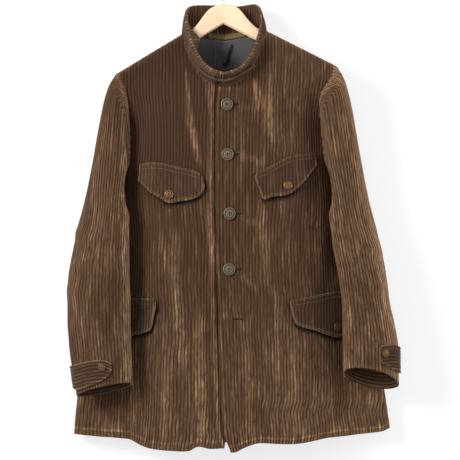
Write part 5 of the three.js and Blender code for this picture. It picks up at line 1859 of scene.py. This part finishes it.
def model_button(name, radius, material, beads):
    disc = turned_disc(radius, material)
    parts = [disc]
    parts += ring_of_balls(radius, material, beads, 0.68, 0.07, 0.115, 1, 1)
    parts += ring_of_balls(radius, material, PETALS, 0.27, 0.13, 0.13, 2, 0.6)
    deselect()
    for part in parts:
        part.select_set(True)
    bpy.context.view_layer.objects.active = disc
    bpy.ops.object.join()
    button = finish_object(name)
    bpy.ops.object.shade_smooth_by_angle(angle=math.radians(40))
    print(name, "has", len(button.data.polygons), "faces")
    return button


FRONT_MODEL = model_button("front_button_model", 11.5, PEWTER, 26)
FLAP_MODEL = model_button("flap_button_model", 8.5, BRASS, 20)
CUFF_MODEL = model_button("cuff_button_model", 7, BRASS, 18)

# %% [markdown]
# ## Buttons in place
# Each button is a copy of its model with a mesh of its own. The mesh itself is turned to face
# along the cloth's own direction and moved to its place, so that the object's origin stays at
# the hook's crown like every other piece's. The models are removed at the end.

# %% Buttons
FRONT_BUTTONS = ((6.3, 255), (7.8, 350), (11.4, 462), (10.5, 568))
FLAP_BUTTONS = (
    ("chest_button_right", "chest_flap_right", -103, 426),
    ("chest_button_left", "chest_flap_left", 121.5, 409),
    ("hip_button_right", "hip_flap_right", -185, 680),
    ("hip_button_left", "hip_flap_left", 212, 678),
)
CUFF_BUTTONS = ((-1, "cuff_button_right", 0.5, 752), (1, "cuff_button_left", 0.34, 727))
SHANK = 1.2


def stand_on(piece, place, normal):
    """Turns a piece's mesh so that its +Z points along a direction, and moves it to a place."""
    z = np.asarray(normal, float)
    x = np.cross((0, 0, 1.0), z)
    x = x / np.linalg.norm(x)
    turn = np.stack([x, np.cross(z, x), z], 1)
    count = len(piece.data.vertices)
    points = np.empty(count * 3)
    piece.data.vertices.foreach_get("co", points)
    points = points.reshape(count, 3) @ turn.T + np.asarray(place) * MM
    piece.data.vertices.foreach_set("co", points.ravel())
    piece.data.update()


def place_button(name, model, radius, place, normal):
    piece = bpy.data.objects.new(f"{name}_metal", model.data.copy())
    piece.data.name = f"{name}_metal"
    bpy.context.scene.collection.objects.link(piece)
    stand_on(piece, place + normal * 0.16 * radius, normal)
    settle(piece, [name])


for number, (button_x, button_drop) in enumerate(FRONT_BUTTONS, 1):
    at_x, at_drop = np.array(button_x), np.array(float(button_drop))
    away = surface_normal(calm_front_y, at_x, at_drop, 9.0)
    place_button(f"front_button_{number}", FRONT_MODEL, 11.5, on_front(at_x, at_drop, SHANK), away)

for button_name, flap_name, button_x, button_drop in FLAP_BUTTONS:
    at_x, at_drop = np.array(float(button_x)), np.array(float(button_drop))
    flap_rows = FLAPS[flap_name]
    lift = flap_lift(curve(flap_rows, "x", "top")(at_x), curve(flap_rows, "x", "bottom")(at_x), at_drop)
    away = surface_normal(calm_front_y, at_x, at_drop, 8.0)
    spot = on_front(at_x, at_drop, FLAP_CLOTH + lift + SHANK)
    place_button(button_name, FLAP_MODEL, 8.5, spot, away)

for sign, button_name, button_girth, button_drop in CUFF_BUTTONS:
    away_by = TAB_CLOTH + TAB_LIFT + SHANK
    spot, away = on_sleeve(sign, np.array(button_girth), np.array(float(button_drop)), away_by)
    place_button(button_name, CUFF_MODEL, 7, spot, away)

for model in (FRONT_MODEL, FLAP_MODEL, CUFF_MODEL):
    bpy.data.objects.remove(model)
print("buttons:", len(FRONT_BUTTONS) + len(FLAP_BUTTONS) + len(CUFF_BUTTONS))

# %% [markdown]
# ## Hanger
# The hanger's solid already has the right form, so nothing is drawn again. A copy of it is
# merged, a bevel softens its hard edges as sanding does, and it gets a wood with fine straight
# grain under a thin coat.


# %% Hanger
def wood():
    material, nodes, links, shader = principled("wood")
    place = nodes.new("ShaderNodeTexCoord").outputs["Object"]
    mapping = nodes.new("ShaderNodeMapping")
    mapping.inputs["Scale"].default_value = (14, 260, 260)
    mapping.inputs["Rotation"].default_value = (0, math.radians(8), 0)
    links.new(place, mapping.inputs["Vector"])
    grain = noise_node(nodes, links, mapping.outputs[0], 1.0, 4.0, 0.6)
    colour = mix_node(nodes, links, grain, rgb(236, 200, 160), rgb(247, 220, 188))
    links.new(colour, shader.inputs["Base Color"])
    shader.inputs["Roughness"].default_value = 0.38
    shader.inputs["Coat Weight"].default_value = 0.25
    bump_into(nodes, links, shader, grain, 0.00012)
    return material


def dress_hanger():
    source = bpy.data.objects["hanger"]
    piece = bpy.data.objects.new("hanger_wood", source.data.copy())
    bpy.context.scene.collection.objects.link(piece)
    deselect()
    piece.select_set(True)
    bpy.context.view_layer.objects.active = piece
    bpy.ops.object.mode_set(mode="EDIT")
    bpy.ops.mesh.select_all(action="SELECT")
    bpy.ops.mesh.remove_doubles(threshold=0.00002)
    bpy.ops.mesh.tris_convert_to_quads(face_threshold=math.radians(60), shape_threshold=math.radians(60))
    bpy.ops.object.mode_set(mode="OBJECT")
    bevel = piece.modifiers.new("soft", "BEVEL")
    bevel.width = 0.0016
    bevel.segments = 3
    bevel.limit_method = "ANGLE"
    bevel.angle_limit = math.radians(24)
    bpy.ops.object.modifier_apply(modifier="soft")
    bpy.ops.object.shade_smooth_by_angle(angle=math.radians(34))
    piece.data.materials.clear()
    piece.data.materials.append(wood())
    settle(piece, ["hanger"])
    print("the hanger has", len(piece.data.polygons), "faces")


dress_hanger()

# %% [markdown]
# ## Hook
# The hook is one bent steel wire, so it is a smooth curve with a round section, made a mesh. Its
# stem comes out of the wood and leans back, and then the wire goes most of the way round.

# %% Hook
WIRE_RADIUS = 1.75
HOOK_RADIUS = 19
HOOK_STEM = [(0, 5, -53), (0, 8, -44), (0, 14, -36), (0, 19.5, -28)]
HOOK_ARC = np.arange(-12, 201, 10.6)


def dress_hook():
    reach = HOOK_RADIUS + WIRE_RADIUS
    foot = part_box("hook")[0][2] / MM
    path = [(0, 5, foot)] + HOOK_STEM
    for degrees in HOOK_ARC:
        angle = math.radians(degrees)
        path.append((0, reach * math.cos(angle), -HOOK_RADIUS + reach * math.sin(angle)))
    deselect()
    bpy.ops.curve.primitive_nurbs_path_add()
    piece = bpy.context.active_object
    piece.data.splines.clear()
    spline = piece.data.splines.new("NURBS")
    spline.points.add(len(path) - 1)
    for point, place in zip(spline.points, path):
        point.co = (*(np.array(place) * MM), 1)
    spline.order_u = 3
    spline.use_endpoint_u = True
    piece.data.dimensions = "3D"
    piece.data.bevel_depth = WIRE_RADIUS * MM
    piece.data.bevel_resolution = 4
    piece.data.use_fill_caps = True
    bpy.ops.object.convert(target="MESH")
    piece = finish_object("hook_wire")
    piece.data.materials.clear()
    piece.data.materials.append(STEEL)
    bpy.ops.object.shade_smooth_by_angle(angle=math.radians(50))
    settle(piece, ["hook"])
    print("the hook has", len(piece.data.polygons), "faces")


dress_hook()

# %% [markdown]
# ## A row of stitches
# Thread shows wherever the jacket was sewn. A stitch is a short round bar that dips into the
# cloth at both ends. Along a curve, an array modifier could repeat one, but each has to lie on
# the folds, so the bars are set along a list of places and all rows of one thread are one mesh.

# %% Stitches
STITCH_MARKS = np.array([0, 0.2, 0.5, 0.8, 1.0])
STITCH_RISE = np.array([-0.5, 0.25, 0.45, 0.25, -0.5])
STITCH_WIDTH = np.array([0.5, 0.95, 1, 0.95, 0.5])


def bar_faces():
    """The faces of one stitch: four lines of five points round it, and both its ends."""
    faces = []
    for side in range(4):
        here, there = 5 * side, 5 * ((side + 1) % 4)
        faces += [(here + i, here + i + 1, there + i + 1, there + i) for i in range(4)]
    return np.array(faces + [(0, 5, 10, 15), (19, 14, 9, 4)])


def bar_points(line, up, thick):
    """The points of one stitch round a line, with its back to a direction."""
    up = up / np.linalg.norm(up, axis=1)[:, None]
    line = line + up * (STITCH_RISE * thick)[:, None]
    across = np.cross(line[-1] - line[0], up[2])
    across = across / np.linalg.norm(across)
    width = thick * STITCH_WIDTH
    points = []
    for side in range(4):
        angle = math.pi / 2 * side
        points.append(line + (across[None] * math.cos(angle) + up * math.sin(angle)) * width[:, None])
    return np.concatenate(points)


def along_row(values, along, marks):
    """The values of a row's points at given distances along it."""
    return np.stack([np.interp(marks, along, values[:, axis]) for axis in range(3)], 1)


def stitch_rows(name, rows, material, long=3.0, gap=1.3, thick=0.42):
    """All rows of one thread as one mesh. A row is (places, normals), both lists of points."""
    bars = []
    for places, normals in rows:
        steps = np.linalg.norm(np.diff(places, axis=0), axis=1)
        along = np.concatenate([[0], np.cumsum(steps)])
        for start in np.arange(gap, along[-1] - long, long + gap):
            marks = start + long * STITCH_MARKS
            bars.append(bar_points(along_row(places, along, marks), along_row(normals, along, marks), thick))
    faces = np.concatenate([bar_faces() + 20 * number for number in range(len(bars))])
    piece = mesh_piece(name, np.concatenate(bars), faces, [material])
    settle(piece, None)
    print(name, "has", len(bars), "stitches")


print("a stitch has", len(bar_faces()), "faces")

# %% [markdown]
# ## Sewing on the flaps
# Two pale rows run along the top of each flap and one along its free edge.

# %% Sewing on the flaps
def flap_row(rows, share_top, offset, x_from, x_to):
    """A row across a flap: offset below its top edge, or above its lower one."""
    x = np.linspace(x_from, x_to, 60)
    top, bottom = curve(rows, "x", "top")(x), curve(rows, "x", "bottom")(x)
    drop = top + offset if share_top else bottom - offset
    places = on_front(x, drop, FLAP_CLOTH + flap_lift(top, bottom, drop) + 0.35)
    return places, surface_normal(calm_front_y, x, drop)


FLAP_SEWING = []
for flap_name, flap_rows in FLAPS.items():
    first, last = flap_rows["x"][0], flap_rows["x"][-1]
    FLAP_SEWING.append(flap_row(flap_rows, True, 3.2, first + 6, last - 6))
    FLAP_SEWING.append(flap_row(flap_rows, True, 11, first + 6, last - 8))
    FLAP_SEWING.append(flap_row(flap_rows, False, 5, first + 7, last - 7))
stitch_rows("flap_stitching", FLAP_SEWING, THREAD, thick=0.36)

# %% [markdown]
# ## Sewing on the edges
# A dark row runs down the edge of the lapping front and along both hems.


# %% Sewing on the edges
def edge_row(inset, drop_from, drop_to):
    drop = np.linspace(drop_from, drop_to, 160)
    x = over_edge_at(drop) + inset
    return on_front(x, drop, 0.35), surface_normal(calm_front_y, x, drop)


def hem_row(rows, above, x_from, x_to):
    x = np.linspace(x_from, x_to, 160)
    drop = curve(rows, "x", "drop")(x) - above
    return on_front(x, drop, 0.25), surface_normal(calm_front_y, x, drop)


EDGE_SEWING = [
    edge_row(6, 228, 900),
    hem_row(HEM_RIGHT, 10, -262, -4),
    hem_row(HEM_LEFT, 7, 18, 262),
]
stitch_rows("edge_stitching", EDGE_SEWING, DARK_THREAD, thick=0.34)

# %% [markdown]
# ## Buttonholes
# A buttonhole is a slit between two lips of dense thread, beside each front button, and the slit
# is a near-black bar of painted shade. The lowest one is empty and longer to see, because its
# button is missing. All are stitches set close together.

# %% Buttonholes
HOLES = [(button_x + 11, button_drop - 0.5, 12.5) for button_x, button_drop in FRONT_BUTTONS]
EMPTY_HOLE = (19, 662, 19)


def hole_lips(x, drop, length):
    rows = []
    for lift in (-1.1, 1.1):
        xs = np.linspace(x, x + length, 12)
        drops = np.full(12, drop + lift)
        rows.append((on_front(xs, drops, 0.5), surface_normal(calm_front_y, xs, drops)))
    return rows


def hole_slit_shade(x, drop, length):
    xs = np.linspace(x, x + length, 12)
    drops = np.full(12, float(drop))
    return on_front(xs, drops, 0.9), surface_normal(calm_front_y, xs, drops)


LIPS, SLIT_SHADES = [], []
for hole in HOLES + [EMPTY_HOLE]:
    LIPS += hole_lips(*hole)
    SLIT_SHADES.append(hole_slit_shade(*hole))
stitch_rows("buttonholes", LIPS, DARK_THREAD, long=1.2, gap=0.15, thick=0.7)
# The slits are bars of painted shade.
stitch_rows("buttonhole_slits_shade", SLIT_SHADES, SLIT_SHADE, long=3.0, gap=0.01, thick=1.25)

# %% [markdown]
# ## Sewing in the lining
# The lining's two seams show a thin pale thread, which lies on the ridges made before.

# %% Sewing in the lining
SEAM_LINES = ([(-15, 138), (-15.5, 160), (-15, 186)], [(42, 139), (47, 146), (51, 156)])
LINING_SEWING = []
for seam_line in SEAM_LINES:
    path = smooth_path(np.array(seam_line, float), 40)
    places = np.stack([path[:, 0], lining_y(path[:, 0], path[:, 1]) - 2.2, -path[:, 1]], 1)
    LINING_SEWING.append((places, np.tile((0.0, -1.0, 0.0), (40, 1))))
stitch_rows("lining_seams", LINING_SEWING, PALE_THREAD, long=4.0, gap=0.1, thick=0.32)

# %% [markdown]
# ## Wall
# The jacket hangs in front of a white wall, which is nearly burnt out in the photograph. A plane
# that glows a little gives that white and still takes a faint shadow. It shows only from the
# front, so that the jacket's back can be looked at too.

# %% Stage
WALL_Y = 52


def wall_material():
    material, nodes, links, shader = principled("wall")
    shader.inputs["Base Color"].default_value = (0.3, 0.3, 0.305, 1)
    shader.inputs["Emission Color"].default_value = (1, 1, 1.01, 1)
    shader.inputs["Emission Strength"].default_value = 0.74
    shader.inputs["Roughness"].default_value = 1.0
    shader.inputs["Specular IOR Level"].default_value = 0.0
    hole = nodes.new("ShaderNodeBsdfTransparent")
    mix = nodes.new("ShaderNodeMixShader")
    links.new(nodes.new("ShaderNodeNewGeometry").outputs["Backfacing"], mix.inputs[0])
    links.new(shader.outputs[0], mix.inputs[1])
    links.new(hole.outputs[0], mix.inputs[2])
    links.new(mix.outputs[0], nodes["Material Output"].inputs["Surface"])
    return material


deselect()
bpy.ops.mesh.primitive_plane_add(
    size=5, location=(0, WALL_Y * MM, -0.5), rotation=(math.radians(90), 0, 0))
wall = finish_object("wall")
wall.data.materials.append(wall_material())
print("the wall is", WALL_Y, "mm behind the hook")

# %% [markdown]
# ## Light
# One broad light stands high on the left, and the shadow to the right is faint, so two weaker
# and larger lights and a bright world fill it. The key light is small enough for each wale to
# have a lit and a dark side.


# %% Light
MIDDLE = (0.01, 0, -0.49)


def area_light(name, place, aim, size, power, colour=(1, 1, 1)):
    light = bpy.data.lights.new(name, "AREA")
    light.shape = "DISK"
    light.size = size
    light.energy = power
    light.color = colour
    lamp = bpy.data.objects.new(name, light)
    bpy.context.scene.collection.objects.link(lamp)
    lamp.location = place
    lamp.rotation_euler = (Vector(aim) - Vector(place)).to_track_quat("-Z", "Y").to_euler()


area_light("key", (-1.95, -2.0, 0.45), MIDDLE, 1.1, 80, (1, 0.985, 0.96))
area_light("side", (2.4, -0.9, 0.2), MIDDLE, 1.6, 30)
area_light("fill", (0.6, -3.2, 0.3), MIDDLE, 2.6, 14)
world = bpy.data.worlds.new("studio")
world.use_nodes = True
world.node_tree.nodes["Background"].inputs["Color"].default_value = (0.96, 0.97, 1, 1)
world.node_tree.nodes["Background"].inputs["Strength"].default_value = 0.4
bpy.context.scene.world = world
bpy.context.scene.view_settings.view_transform = "Standard"

# %% [markdown]
# ## Camera
# The jacket's edges show no perspective, so the camera stands far off with a long lens. Its lens
# follows from the width that the picture spans at the jacket's middle depth, and its place from
# where the hook's crown would lie in the picture, a little above its top edge.

# %% Camera
PIXELS = 460
PIXEL_WIDTH = 1.9
HOOK_COLUMN = 223.5
PICTURE_TOP = -56.3
CAMERA_FAR = 9000
MIDDLE_DEPTH = -30
camera_data = bpy.data.cameras.new("camera")
camera_data.sensor_fit = "HORIZONTAL"
camera_data.sensor_width = 36
camera_data.lens = 36 * CAMERA_FAR / (PIXELS * PIXEL_WIDTH)
camera = bpy.data.objects.new("camera", camera_data)
bpy.context.scene.collection.objects.link(camera)
camera_x = (PIXELS / 2 - HOOK_COLUMN) * PIXEL_WIDTH
camera_z = PICTURE_TOP - PIXELS / 2 * PIXEL_WIDTH
camera.location = np.array((camera_x, MIDDLE_DEPTH - CAMERA_FAR, camera_z)) * MM
camera.rotation_euler = (math.radians(90), 0, 0)
bpy.context.scene.camera = camera
print("the lens is", round(camera_data.lens), "mm")

# %% Finish
triangles = sum(len(p.vertices) - 2 for o in bpy.data.objects if o.type == "MESH" and not o.hide_render
                for p in o.data.polygons)
print("triangles:", triangles)
